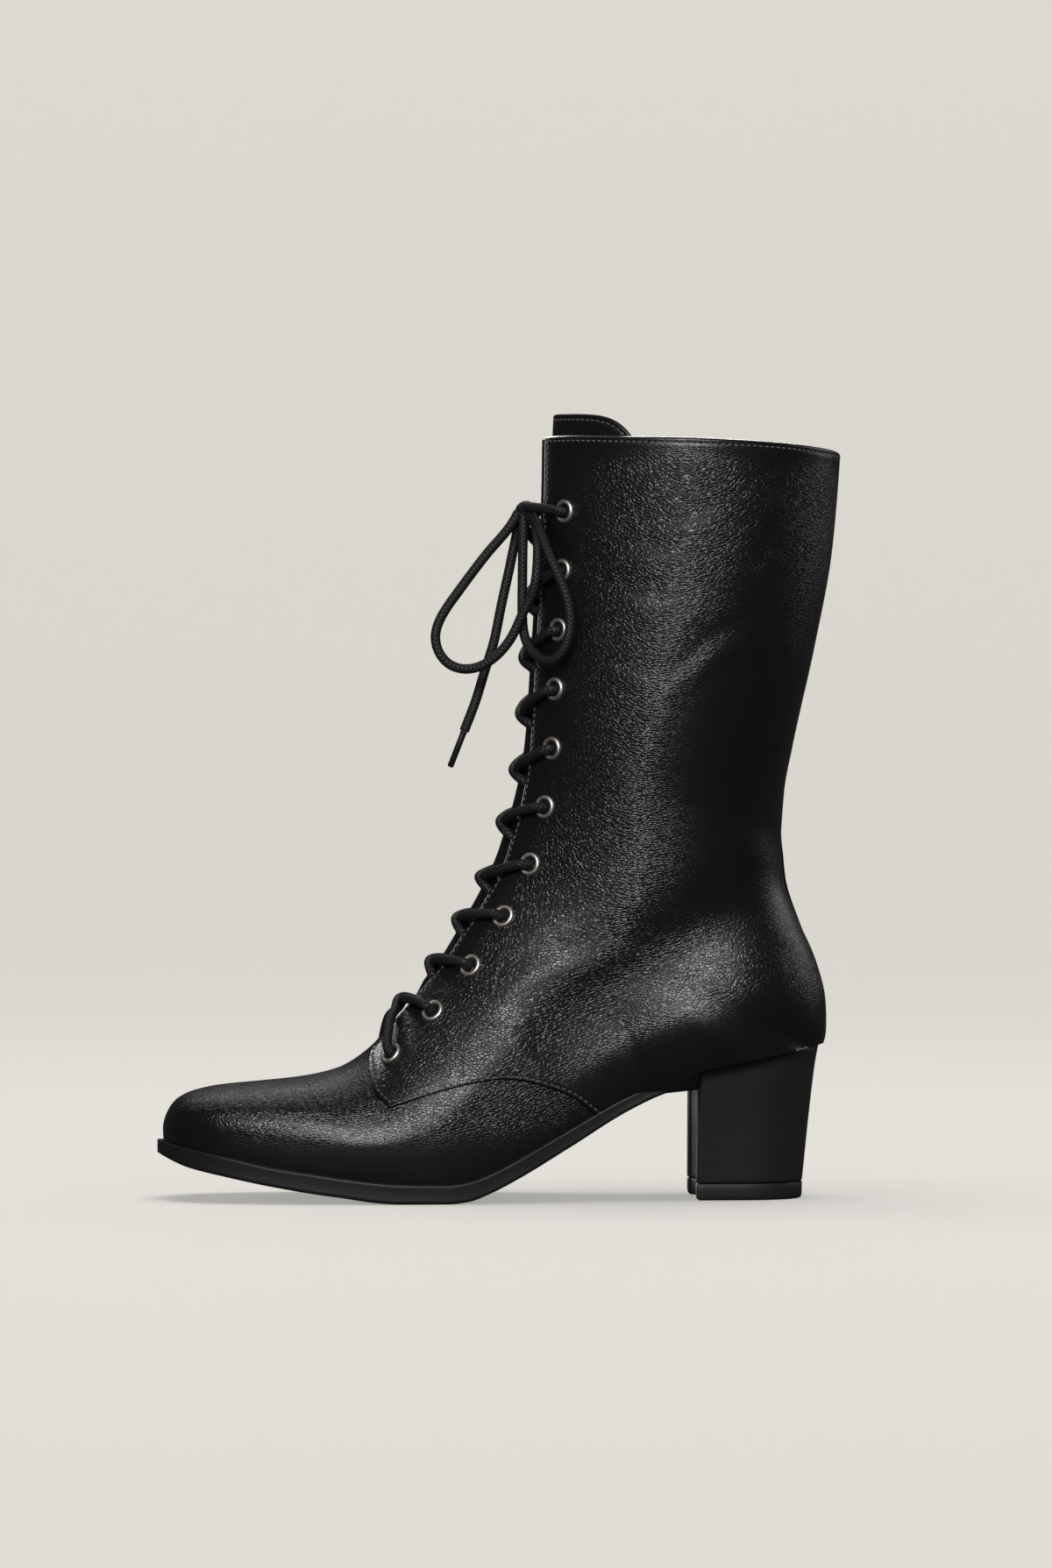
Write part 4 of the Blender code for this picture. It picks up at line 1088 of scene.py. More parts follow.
def turned_mesh(profile, centre, axis, around=40, closed=False):
    """Profile of (radius, height) pairs turned round an axis through a centre."""
    axis = np.asarray(axis, float)
    helper = np.array([0.0, 0.0, 1.0]) if abs(axis[2]) < 0.9 else np.array([1.0, 0.0, 0.0])
    first = unit(np.cross(helper, axis))
    second = np.cross(axis, first)
    turn = np.linspace(0.0, 2 * math.pi, around, endpoint=False)
    radial = np.cos(turn)[:, None] * first + np.sin(turn)[:, None] * second
    radius, height = np.array(profile, float).T
    if closed:
        radius, height = np.append(radius, radius[0]), np.append(height, height[0])
    points = centre + radius[:, None, None] * radial[None] + height[:, None, None] * axis
    return points.reshape(-1, 3), grid_quads(len(radius), around, closed=True)


def add_node(tree, kind, inputs=None, **settings):
    """Shader node with its settings and the values of its inputs."""
    made = tree.nodes.new(kind)
    for name, value in settings.items():
        setattr(made, name, value)
    for name, value in (inputs or {}).items():
        made.inputs[name].default_value = value
    return made


def new_material(name, colour, roughness, metallic=0.0, specular=0.5):
    """Principled material and its tree and shader."""
    material = bpy.data.materials.new(name)
    material.use_nodes = True
    tree = material.node_tree
    shader = tree.nodes["Principled BSDF"]
    shader.inputs["Base Color"].default_value = (*colour, 1.0)
    shader.inputs["Roughness"].default_value = roughness
    shader.inputs["Metallic"].default_value = metallic
    shader.inputs["Specular IOR Level"].default_value = specular
    return material, tree, shader


def vary(tree, source, low, high, source_low=0.0, source_high=1.0):
    """Map of a value's range, 0 to 1 if not given, to another range."""
    limits = {"From Min": source_low, "From Max": source_high, "To Min": low, "To Max": high}
    ranged = add_node(tree, "ShaderNodeMapRange", limits)
    tree.links.new(source, ranged.inputs["Value"])
    return ranged.outputs["Result"]


def bump_from(tree, shader, height, strength, distance):
    """Bump of a height on the shader, in metres."""
    bump = add_node(tree, "ShaderNodeBump", {"Strength": strength, "Distance": distance})
    tree.links.new(height, bump.inputs["Height"])
    tree.links.new(bump.outputs["Normal"], shader.inputs["Normal"])
    return bump


def math_node(tree, operation, first, second):
    """Math node of two values, each a socket or a number."""
    made = add_node(tree, "ShaderNodeMath", operation=operation)
    for slot, value in zip(made.inputs, (first, second)):
        if isinstance(value, (int, float)):
            slot.default_value = value
        else:
            tree.links.new(value, slot)
    return made.outputs["Value"]


def object_place(tree):
    """Coordinates of the piece itself, in metres."""
    return add_node(tree, "ShaderNodeTexCoord").outputs["Object"]


def stretched(tree, where, scale, turn=0.0):
    """Coordinates turned about Y and scaled along each axis."""
    mapping = add_node(tree, "ShaderNodeMapping", {"Rotation": (0.0, turn, 0.0), "Scale": scale})
    tree.links.new(where, mapping.inputs["Vector"])
    return mapping.outputs["Vector"]


def noise_node(tree, where, scale, detail, roughness=0.5):
    """Noise of a scale at some coordinates."""
    inputs = {"Scale": scale, "Detail": detail, "Roughness": roughness}
    noise = add_node(tree, "ShaderNodeTexNoise", inputs)
    tree.links.new(where, noise.inputs["Vector"])
    return noise


def roughness_from(tree, shader, value, low, high):
    """Roughness of the shader between two values, as a pattern from 0 to 1 says."""
    tree.links.new(vary(tree, value, low, high), shader.inputs["Roughness"])


def warped(tree, where, scale, reach):
    """Coordinates pushed about by a noise of a scale, as far as a reach in metres."""
    noise = noise_node(tree, where, scale, 2.0)
    pushed = add_node(tree, "ShaderNodeVectorMath", operation="MULTIPLY_ADD")
    pushed.inputs[1].default_value = (reach, reach, reach)
    tree.links.new(noise.outputs["Color"], pushed.inputs[0])
    tree.links.new(where, pushed.inputs[2])
    return pushed.outputs["Vector"]


def leather_material(name, colour):
    """Black grained leather: pebbles between fine creases as bump, over soft waves of the hide.

    The pebbles are warped and stretched cells, flat on top and steep at their edges. The grain
    attribute says how much of them shows: less where the leather is pulled tight.
    """
    material, tree, shader = new_material(name, colour, 0.3, specular=0.4)
    where = object_place(tree)
    hide = stretched(tree, warped(tree, where, 320.0, 0.0008), (0.7, 1.0, 1.4), math.radians(35.0))
    cells = add_node(tree, "ShaderNodeTexVoronoi", {"Scale": 850.0}, feature="DISTANCE_TO_EDGE")
    tree.links.new(hide, cells.inputs["Vector"])
    pebbles = add_node(tree, "ShaderNodeMapRange", {"From Max": 0.22}, interpolation_type="SMOOTHSTEP")
    tree.links.new(cells.outputs["Distance"], pebbles.inputs["Value"])
    wrinkles = math_node(tree, "MULTIPLY", noise_node(tree, hide, 900.0, 3.0, 0.6).outputs["Fac"], 0.35)
    height = math_node(tree, "ADD", pebbles.outputs["Result"], wrinkles)
    waves = noise_node(tree, where, 75.0, 3.0).outputs["Fac"]
    broad = add_node(tree, "ShaderNodeBump", {"Strength": 0.07, "Distance": 0.0016})
    tree.links.new(waves, broad.inputs["Height"])
    bump = bump_from(tree, shader, height, 0.6, 0.0003)
    tree.links.new(broad.outputs["Normal"], bump.inputs["Normal"])
    shown = add_node(tree, "ShaderNodeAttribute", attribute_name="grain").outputs["Fac"]
    tree.links.new(vary(tree, shown, 0.03, 0.42), bump.inputs["Strength"])
    roughness_from(tree, shader, waves, 0.23, 0.34)
    return material


def lining_material(name, colour):
    """Dark lining leather with a fine nap."""
    material, tree, shader = new_material(name, colour, 0.75, specular=0.3)
    nap = noise_node(tree, object_place(tree), 900.0, 3.0).outputs["Fac"]
    bump_from(tree, shader, nap, 0.3, 0.0002)
    roughness_from(tree, shader, nap, 0.65, 0.85)
    return material


def rubber_material(name, colour, roughness):
    """Rubber with a fine brushed scatter."""
    material, tree, shader = new_material(name, colour, roughness, specular=0.25)
    brushed = stretched(tree, object_place(tree), (90.0, 90.0, 900.0))
    scuff = noise_node(tree, brushed, 1.0, 4.0).outputs["Fac"]
    bump_from(tree, shader, scuff, 0.18, 0.0002)
    roughness_from(tree, shader, scuff, roughness - 0.08, roughness + 0.1)
    return material


def heel_material(name, colour):
    """Stacked heel block: faint level lines and a satin black finish."""
    material, tree, shader = new_material(name, colour, 0.36, specular=0.3)
    layers = stretched(tree, object_place(tree), (14.0, 14.0, 520.0))
    lines = noise_node(tree, layers, 1.0, 3.0, 0.7).outputs["Fac"]
    bump_from(tree, shader, lines, 0.16, 0.0002)
    roughness_from(tree, shader, lines, 0.36, 0.52)
    return material


def metal_material(name, colour):
    """Worn nickel with fine scratches and a little tarnish."""
    material, tree, shader = new_material(name, colour, 0.25, metallic=1.0)
    wear = noise_node(tree, object_place(tree), 700.0, 4.0).outputs["Fac"]
    bump_from(tree, shader, wear, 0.08, 0.0001)
    roughness_from(tree, shader, wear, 0.38, 0.54)
    return material


def braid_material(name, colour):
    """Braided lace: two sets of yarns that wind opposite ways along the cord's own UV map."""
    material, tree, shader = new_material(name, colour, 0.45, specular=0.2)
    where = add_node(tree, "ShaderNodeUVMap", uv_map="UVMap").outputs["UV"]
    parts = add_node(tree, "ShaderNodeSeparateXYZ")
    tree.links.new(where, parts.inputs["Vector"])
    yarns_along, yarns_around = 7, 6
    along = math_node(tree, "MULTIPLY", parts.outputs["X"], 2.0 * math.pi * yarns_along)
    around = math_node(tree, "MULTIPLY", parts.outputs["Y"], 2.0 * math.pi * yarns_around)
    one_way = math_node(tree, "SINE", math_node(tree, "ADD", around, along), 0.0)
    other_way = math_node(tree, "SINE", math_node(tree, "SUBTRACT", around, along), 0.0)
    yarn = math_node(tree, "MAXIMUM", one_way, other_way)
    bump_from(tree, shader, yarn, 0.5, 0.00025)
    # Painted shade and highlight: the colour runs from 0.3 times the lace's colour in the grooves
    # between the yarns to 3 times it on their crests, following the yarns' height
    painted_yarn_shade = add_node(tree, "ShaderNodeMix", data_type="RGBA")
    for end, share in (("A", 0.3), ("B", 3.0)):
        painted_yarn_shade.inputs[end].default_value = (*(share * value for value in colour), 1.0)
    tree.links.new(vary(tree, yarn, 0.3, 0.8), painted_yarn_shade.inputs["Factor"])
    tree.links.new(painted_yarn_shade.outputs["Result"], shader.inputs["Base Color"])
    return material


def floor_material(name, colour):
    """Matte pale paper with the faintest mottling.

    It glows by itself, and more the farther from the boot it lies.
    """
    material, tree, shader = new_material(name, colour, 0.9, specular=0.1)
    shader.inputs["Emission Color"].default_value = (*colour, 1.0)
    where = object_place(tree)
    away = add_node(tree, "ShaderNodeVectorMath", operation="LENGTH")
    tree.links.new(where, away.inputs[0])
    ring = vary(tree, away.outputs["Value"], FLOOR_GLOW, BACKDROP_GLOW, 0.0, GLOW_REACH)
    tree.links.new(ring, shader.inputs["Emission Strength"])
    mottle = noise_node(tree, where, 3.0, 2.0).outputs["Fac"]
    roughness_from(tree, shader, mottle, 0.86, 0.94)
    return material


def finish(key):
    """A finish of this boot, made once and then shared by its pieces."""
    colours = bpy.context.scene.boot_colours
    makers = {
        "leather": lambda: leather_material("black_leather", colours.leather),
        "lining": lambda: lining_material("dark_lining", colours.lining),
        "thread": lambda: lining_material("black_thread", colours.thread),
        "sole": lambda: rubber_material("sole_rubber", colours.rubber, 0.42),
        "lift": lambda: rubber_material("top_lift_rubber", colours.rubber, 0.55),
        "heel": lambda: heel_material("heel_stack", colours.heel),
        "metal": lambda: metal_material("worn_nickel", colours.metal),
        "lace": lambda: braid_material("braided_lace", colours.lace),
        "aglet": lambda: rubber_material("lace_tip", colours.lace, 0.35),
    }
    if key not in FINISHES:
        FINISHES[key] = makers[key]()
    return FINISHES[key]


FINISHES = {}


def vamp_grid():
    """Grid of the vamp: stations from the toe to under the quarters, angles all round the section."""
    angle = np.linspace(-math.pi, math.pi, 171)[None, :]
    seam = np.vstack([smooth_line(QUARTER_FRONT, 60), smooth_line(QUARTER_ARCH, 60)])
    seam_station, seam_angle = fan_place(seam)
    order = np.argsort(seam_angle, kind="stable")
    end = np.interp(np.abs(angle), seam_angle[order], seam_station[order]) + VAMP_UNDER_QUARTERS
    crowded = np.linspace(0.0, 1.0, 150) ** TOE_CROWDING
    v = np.unique(np.concatenate([crowded, 1 - EDGE_STEPS / VAMP_LENGTH]))[:, None]
    station = v * end
    angle = np.broadcast_to(angle, station.shape)
    _, to_end, from_left, from_right = panel_lengths(last_point(station, angle))
    to_feather = np.minimum(from_left, from_right)
    body = np.minimum(edge_round(to_end, VAMP_END_ROUND), edge_round(to_feather, VAMP_FEATHER_ROUND))
    middle, half = -VAMP_WALL / 2, VAMP_WALL / 2
    return station, angle, middle + half * body, middle - half * body


def close_toe(grid):
    """Grid of points, its first row drawn together into one point at the toe's tip."""
    grid[0] = grid[0].mean(axis=0)
    return grid


def make_vamp():
    """Vamp: the last's front up to under the quarters, an outer and an inner sheet."""
    station, angle, outer, inner = vamp_grid()
    outer_grid = close_toe(last_offset(station, angle, outer))
    inner_grid = close_toe(last_offset(station, angle, inner))
    grain = grain_share(last_point(station, angle)[..., 2], VAMP_GRAIN)
    vamp = leather_piece("vamp", [(outer_grid, inner_grid, False)], [grain])
    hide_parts("upper")


def quarter_grain(panel):
    """Grain of a quarter: less above the sole, along the edges and where the calf fills the shaft."""
    x, _, z = np.moveaxis(last_point(panel.station, panel.angle), -1, 0)
    smooth_band = SMOOTH_BAND_RISE * grain_share(x, TOWARDS_HEEL)
    above_sole = grain_share(z - smooth_band, QUARTER_GRAIN)
    off_edges = grain_share(np.minimum(panel.to_collar, panel.from_throat), QUARTER_EDGE_GRAIN)
    from_calf = ((x - CALF_MIDDLE[0]) / CALF_HALF_WIDTHS[0]) ** 2
    from_calf += ((z - CALF_MIDDLE[1]) / CALF_HALF_WIDTHS[1]) ** 2
    return above_sole * off_edges * (1 - CALF_SMOOTHNESS * np.exp(-from_calf))


def make_quarters(sizes):
    """Both quarters in one piece: they meet at the back, and their feet stand on the heel's seat."""
    sheets, grains = [], []
    for side, _ in SIDES:
        panel = quarter_panel(side, sizes)
        outer = seat_trim(last_offset(panel.station, panel.angle, panel.outer))
        inner = seat_trim(last_offset(panel.station, panel.angle, panel.inner))
        sheets.append((outer, inner, side < 0))
        grains.append(quarter_grain(panel))
    quarters = leather_piece("quarters", sheets, grains)
    bpy.data.collections["lit_from_behind"].objects.link(quarters)
    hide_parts("upper")


def tongue_place(u, v):
    """Station, angle and middle height of the tongue: u across from -1 to 1, v up from 0 to 1.

    It is the last's front, set in by the wall, ever wider and leaning back towards its top, whose
    corners drop. Between the quarters it bulges out as a bell across the throat.
    """
    first = station_where("front_x", TONGUE_START_X)
    top = station_where("front_z", TONGUE_TOP_Z)
    station = first + v * (top - TONGUE_CORNER_DROP * u**TONGUE_CORNER_POWER - first)
    half_width = TONGUE_HALF_WIDTH_LOW + (TONGUE_HALF_WIDTH_TOP - TONGUE_HALF_WIDTH_LOW) * v**2
    across = half_width * u - TONGUE_LATERAL_SHIFT * v**2
    angle = angle_across(station, across)
    lean = TONGUE_LEAN_AT_TOP * np.clip((v - TONGUE_LEAN_START) / (1 - TONGUE_LEAN_START), 0, 1) ** 1.5
    in_throat = np.interp(v, TONGUE_BULGE_SPAN, (0.0, 1.0, 1.0, 0.0))
    bulge = TONGUE_BULGE * in_throat * np.exp(-((across / TONGUE_BULGE_HALF_WIDTH) ** 2))
    return station, angle, bulge - (VAMP_WALL + TONGUE_GAP + TONGUE_THICKNESS / 2 + lean)


def make_tongue():
    """Tongue: an outer and an inner sheet on both sides of its middle height, with rounded edges."""
    u = 2 * spread(TONGUE_WIDTH, 50)[None, :] - 1
    v = spread(TONGUE_LENGTH, 130)[:, None]
    station, angle, middle = tongue_place(u, v)
    _, to_top, from_left, from_right = panel_lengths(last_point(station, angle))
    to_edge = np.minimum(to_top, np.minimum(from_left, from_right))
    body = edge_round(to_edge, TONGUE_ROUND)
    groove = stitch_groove(to_top, TONGUE_STITCH_INSET)
    outer = last_offset(station, angle, middle + body * (TONGUE_THICKNESS / 2 + groove))
    inner = last_offset(station, angle, middle - body * TONGUE_THICKNESS / 2)
    grain = grain_share(to_edge, TONGUE_EDGE_GRAIN)
    tongue = leather_piece("tongue_leaf", [(outer, inner, False)], [grain])
    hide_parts("tongue")


def make_insole():
    """The insole's solid has its right shape and only gets its finish."""
    insole = frame["nodes"]["insole"]
    insole.data.materials.clear()
    insole.data.materials.append(finish("lining"))


def stacked_rings(name, rings, material):
    """Solid through closed rings in their order, its two ends drawn together."""
    ends = [np.repeat(rings[i].mean(axis=0)[None, None], rings.shape[1], axis=1) for i in (0, -1)]
    rings = np.concatenate([ends[0], rings, ends[1]])
    faces = grid_quads(rings.shape[0], rings.shape[1], closed=True)
    return add_piece(name, rings, faces, material)


def make_outsole():
    """Loft of cross sections, from the toe to the heel breast: bevelled top lip, rounded lower edge.

    Each section joins the left and the right edge in plan. It follows the edge's profile down one
    side, crosses over underneath, and follows the profile up the other side.
    """
    breast = station_where("back_x", HEEL_BREAST_X)
    stations = breast * np.linspace(0.0, 1.0, 200) ** TOE_CROWDING
    edges = []
    for side, _ in SIDES:
        edge = last_point(stations, np.full(len(stations), side * math.pi))[:, :2]
        run = np.gradient(edge, axis=0)
        out = np.stack([run[:, 1], -run[:, 0]], axis=1) * -side
        edges.append(edge + unit(out) * SOLE_MARGIN)
    inset, rise, down = np.array(SOLE_EDGE).T
    sole_x = [row.x for row in SOLE]
    heights = [[row.top, row.bottom] for row in SOLE]
    across = edges[1] - edges[0]
    width = np.linalg.norm(across, axis=1)[:, None]
    narrowed = inset * np.minimum(1.0, SOLE_INSET_SHARE * width / inset.max())
    sides = []
    for edge, inward in ((edges[0], across / width), (edges[1], -across / width)):
        top, bottom = curve_through(sole_x, heights, edge[:, 0]).T[..., None]
        plan = edge[:, None] + narrowed[..., None] * inward[:, None]
        z = top * (1 - down) + bottom * down + rise
        sides.append(np.concatenate([plan, z[..., None]], axis=-1))
    lateral, medial = sides
    share = np.linspace(0.0, 1.0, 12)[1:-1, None]
    under = lateral[:, -1:, :] * (1 - share) + medial[:, -1:, :] * share
    over = medial[:, :1, :] * (1 - share) + lateral[:, :1, :] * share
    rings = np.concatenate([lateral, under, medial[:, ::-1], over], axis=1)
    sole = stacked_rings("sole_slab", rings, finish("sole"))
    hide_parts("outsole")


def heel_outline(breast_x, back_x, half_width, inset):
    """Plan outline of the heel: straight sides, round back, and a hollow breast between two flanges.

    The back is half a superellipse, a quarter circle rounds each flange, and the hollow is a parabola.
    """
    breast_x, back_x, half_width = breast_x + inset, back_x - inset, half_width - inset
    middle_x = breast_x + HEEL_ROUND_SHARE * (back_x - breast_x)
    turn = np.linspace(-math.pi / 2, math.pi / 2, 91)
    round_x = middle_x + (back_x - middle_x) * np.abs(np.cos(turn)) ** HEEL_ROUND_POWER
    round_y = half_width * np.sign(np.sin(turn)) * np.abs(np.sin(turn)) ** HEEL_ROUND_POWER
    straight_x = np.linspace(middle_x, breast_x + HEEL_CORNER_RADIUS, 14)[1:]
    corner = np.linspace(0.0, math.pi / 2, 5)[1:]
    side_x = np.append(straight_x, breast_x + HEEL_CORNER_RADIUS * (1 - np.sin(corner)))
    corner_y = half_width - HEEL_CORNER_RADIUS * (1 - np.cos(corner))
    side_y = np.append(np.full_like(straight_x, half_width), corner_y)
    breast_share = np.linspace(1.0, -1.0, 61)[1:-1]
    parabola = HEEL_BREAST_HOLLOW * (1 - (breast_share / HEEL_HOLLOW_SHARE) ** 2)
    in_hollow = np.abs(breast_share) < HEEL_HOLLOW_SHARE
    hollow_x = breast_x + np.where(in_hollow, parabola + HEEL_HOLLOW_STEP, 0.0)
    hollow_y = (half_width - HEEL_CORNER_RADIUS) * breast_share
    line_x = np.concatenate([round_x, side_x, hollow_x, side_x[::-1]])
    line_y = np.concatenate([round_y, side_y, hollow_y, -side_y[::-1]])
    return np.stack([line_x, line_y], axis=1)


def make_heel():
    """Tapering block from the slanted seat down to the level seam, its two edges lightly bevelled."""
    seam = HEEL_LIFT_HEIGHT + PIECE_GAP
    straight = [(share, 0.0) for share in np.linspace(0.03, 0.985, 50)]
    shares, insets = np.array([*HEEL_TOP_BEVEL, *straight, *HEEL_FOOT_BEVEL]).T
    levels = curve_through([row.share for row in HEEL], [row[1:] for row in HEEL], shares)
    rings = []
    for share, inset, level in zip(shares, insets, levels):
        ring = heel_outline(*level, inset)
        top = heel_seat_height(ring[:, 0])
        rings.append(np.column_stack([ring, top + share * (seam - top)]))
    heel = stacked_rings("heel_block", np.array(rings), finish("heel"))
    bpy.data.collections["lit_from_behind"].objects.link(heel)
    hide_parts("heel")


def make_top_lift():
    """Level rubber lift, its top edge lightly bevelled and its wearing edge rounded."""
    foot = HEEL[-1]
    rings = []
    for height, inset in LIFT_EDGE:
        ring = heel_outline(foot.breast_x, foot.back_x, foot.half_width, inset)
        rings.append(np.column_stack([ring, np.full(len(ring), height)]))
    lift = stacked_rings("top_lift_block", np.array(rings), finish("lift"))
    bpy.data.collections["lit_from_behind"].objects.link(lift)
    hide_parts("heel_top_lift")


def make_eyelets(sizes):
    """Turned eyelets: a rolled, domed flange on the quarter and a barrel through its wall."""
    flange = sizes.eyelet_radius / MM
    roll = np.linspace(0.0, math.pi, 13)
    middle = (flange + EYELET_HOLE_RADIUS) / 2
    half = (flange - EYELET_HOLE_RADIUS) / 2
    dome = np.column_stack([middle + half * np.cos(roll), EYELET_DOME * np.sin(roll)])
    profile = [
        (flange, -EYELET_SINK),
        *dome,
        (EYELET_HOLE_RADIUS, -EYELET_BARREL_DEPTH),
        (EYELET_BARREL_RADIUS, -EYELET_BARREL_DEPTH),
        (EYELET_BARREL_RADIUS, -EYELET_SINK),
    ]
    step = sizes.quarter_step / MM
    for side, side_name in SIDES:
        for number, station in enumerate(EYELETS, start=1):
            angle = angle_across(station, side * (THROAT_HALF_GAP + EYELET_INSET))
            centre = last_offset(station, angle, step)
            points, faces = turned_mesh(profile, centre, last_normal(station, angle), closed=True)
            eyelet = add_piece(f"eyelet_ring_{side_name}_{number}", points, faces, finish("metal"))
            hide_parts(f"eyelet_{side_name}_{number}")


def strand_route(points, side, station, next_station, over):
    """Strand on one side from its table, raised by over near the middle of the throat."""
    down, across, height = np.array(points).T
    height = height + over * np.exp(-((across / OVER_HALF_WIDTH) ** 2))
    return place_on_last(station + down * (next_station - station), side * across, height)


def add_strands(name, table, stations, over, radius):
    """The two strands between two eyelet pairs; the medial one lies over the other."""
    out_of_throat = (-0.8, 0.0, 0.6)
    tubes = []
    for side, rise in ((-1, 0.0), (1, over)):
        line = bent_cord(strand_route(table, side, *stations, rise))
        tubes.append(tube_mesh(line, radius, out_of_throat))
    return add_tubes(name, tubes, finish("lace"))


def make_lacing(sizes):
    """Crossings from the second to the lowest pair, and the two strands from the top pair."""
    radius = sizes.lace_radius / MM
    pairs = list(zip(EYELETS[1:], EYELETS[2:]))
    for number, stations in enumerate(pairs, start=1):
        lowest = number == len(pairs)
        table = STRAND[:LOWEST_STRAND_KEEPS] + LOWEST_STRAND_END if lowest else STRAND
        crossing = add_strands(f"lace_strands_{number}", table, stations, STRAND_OVER, radius)
        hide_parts(f"lace_crossing_{number}")
    top = add_strands("lace_strands_top", TOP_STRAND, EYELETS[:2], 0.0, radius)
    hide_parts("lace_top_bar")


def knot_ring(row):
    """Closed turn of the knot: an ellipse spanned by two half axes, with a slight tilt."""
    turn = np.linspace(0.0, 2 * math.pi, 60)[:, None]
    ring = np.cos(turn) * np.array(row.first) + np.sin(turn) * np.array(row.second)
    return np.array(KNOT_CENTRE) + ring + np.sin(2 * turn) * np.array(row.tilt)


def make_bow(sizes):
    """Knot of three turns, two loops and two ends with their tips."""
    radius = sizes.lace_radius / MM
    sideways = (0.2, 1.0, 0.1)
    tubes = [tube_mesh(knot_ring(row), radius, row.reference) for row in KNOT_TURNS]
    knot = add_tubes("bow_knot", tubes, finish("lace"))
    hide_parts("lace_knot")
    for row in BOW_CORDS:
        line = bent_cord(row.route)
        cord = add_tubes(row.name, [tube_mesh(line, radius, sideways)], finish("lace"))
        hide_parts(row.node)
        pieces = [make_aglet(line, row.name, row.tip_node)] if row.tip_node else []
        float(distance_along(line)[-1]) * MM


def make_aglet(line, name, node):
    """Pressed tip on a lace's end: a narrow sleeve with a rolled mouth and a rounded tip.

    Its profile is made of pairs of a radius and a distance from the lace's end.
    """
    way = unit(line[-1] - line[-2])
    mouth = ((0.0, 0.0), (1.35, 0.0), (1.4, 0.3), (1.2, 0.8), (AGLET_RADIUS, 1.4))
    tip = ((AGLET_RADIUS, AGLET_LENGTH - 0.5), (0.9, AGLET_LENGTH - 0.1), (0.0, AGLET_LENGTH))
    points, faces = turned_mesh(mouth + tip, line[-1] + way * PIECE_GAP, way, around=24)
    aglet = add_piece(f"{name}_tip", points, faces[:, ::-1], finish("aglet"))
    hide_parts(node)
    return aglet


def columns_at(at, knots, values):
    """Columns of values, straight between their knots, at an array of places."""
    return np.stack([np.interp(at, knots, column) for column in values.T], axis=1)


def stitch_row(line, normal, pitch):
    """Row of stitches along a line: small capsules, half sunk, each turned along the line.

    A capsule's radius is a power of the cosine of its rise, so that its ends are blunt.
    """
    arc = distance_along(line)
    middles = np.arange(pitch, arc[-1] - pitch / 2, pitch)
    centre, up = columns_at(middles, arc, line), columns_at(middles, arc, normal)
    a_little_on = 0.3
    along = unit(columns_at(middles + a_little_on, arc, line) - centre)
    over = np.cross(up, along)
    rings, around = 7, 8
    rise = np.linspace(-math.pi / 2, math.pi / 2, rings)[:, None]
    turn = np.linspace(0.0, 2 * math.pi, around, endpoint=False)[None, :]
    radius = STITCH_HALF_WIDTH * np.cos(rise) ** STITCH_BLUNTNESS
    shape_along = STITCH_HALF_LENGTH_SHARE * pitch * np.sin(rise) * np.ones_like(turn)
    shape = np.stack([shape_along, radius * np.cos(turn), radius * np.sin(turn)], axis=-1)
    shape = shape.reshape(-1, 3)
    points = centre[:, None] + np.einsum("vk,nkj->nvj", shape, np.stack([along, over, up], axis=1))
    template = grid_quads(rings, around, closed=True)[:, ::-1]
    faces = template[None] + (np.arange(len(middles)) * len(shape))[:, None, None]
    return points.reshape(-1, 3), faces.reshape(-1, 4)


def stitch_lines(sizes):
    """Station, angle and height of every row of stitches."""
    surface = sizes.quarter_step / MM - STITCH_SINK
    for side, _ in SIDES:
        panel = quarter_panel(side, sizes)
        flipped = Panel(*(np.ascontiguousarray(grid.T) for grid in panel))
        yield *seam_path(panel, panel.from_seam, SEAM_STITCH_INSET), surface
        yield *seam_path(panel, panel.to_collar, EDGE_STITCH_INSET), surface
        yield *seam_path(flipped, flipped.from_throat, EDGE_STITCH_INSET), surface
        for tack in BAR_TACK:
            station, angle = fan_place(smooth_line(tack, 20))
            yield station, side * angle, surface + BAR_TACK_RISE
    off_corners = 0.96
    u = np.linspace(-off_corners, off_corners, 240)
    top = station_where("front_z", TONGUE_TOP_Z) - station_where("front_x", TONGUE_START_X)
    station, angle, middle = tongue_place(u, np.full_like(u, 1 - TONGUE_STITCH_INSET / top))
    yield station, angle, middle + TONGUE_THICKNESS / 2 - STITCH_SINK


def make_stitching(sizes):
    """Rows of stitches along the seam, the throat and the collar of both quarters and the tongue."""
    off_back_line = 0.03
    rows = []
    for station, angle, height in stitch_lines(sizes):
        inside = np.abs(angle) < math.pi - off_back_line
        station, angle = station[inside], angle[inside]
        height = np.broadcast_to(height, inside.shape)[inside]
        line = last_offset(station, angle, height)
        rows.append(stitch_row(line, last_normal(station, angle), sizes.stitch_pitch / MM))
    stitches = add_piece("stitches", *joined(rows), finish("thread"))


def make_floor(colour):
    """Pale round floor: flat up to a radius, then a quarter circle and a straight rim as a backdrop."""
    run = np.linspace(0.0, math.pi / 2, 24)
    radius = np.concatenate([[0.0], FLOOR_FLAT + FLOOR_BEND * np.sin(run), [FLOOR_FLAT + FLOOR_BEND]])
    height = np.concatenate([[0.0], FLOOR_BEND * (1 - np.cos(run)), [FLOOR_RIM_Z]])
    profile = np.column_stack([radius, height])
    points, faces = turned_mesh(profile, np.zeros(3), (0.0, 0.0, 1.0), around=96)
    mesh = bpy.data.meshes.new("floor_sweep")
    mesh.from_pydata(points.tolist(), [], faces.tolist())
    mesh.materials.append(floor_material("pale_paper", colour))
    mesh.shade_smooth()
    floor = add_object("floor_sweep", mesh)
    floor.visible_glossy = False
    floor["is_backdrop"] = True
    return floor


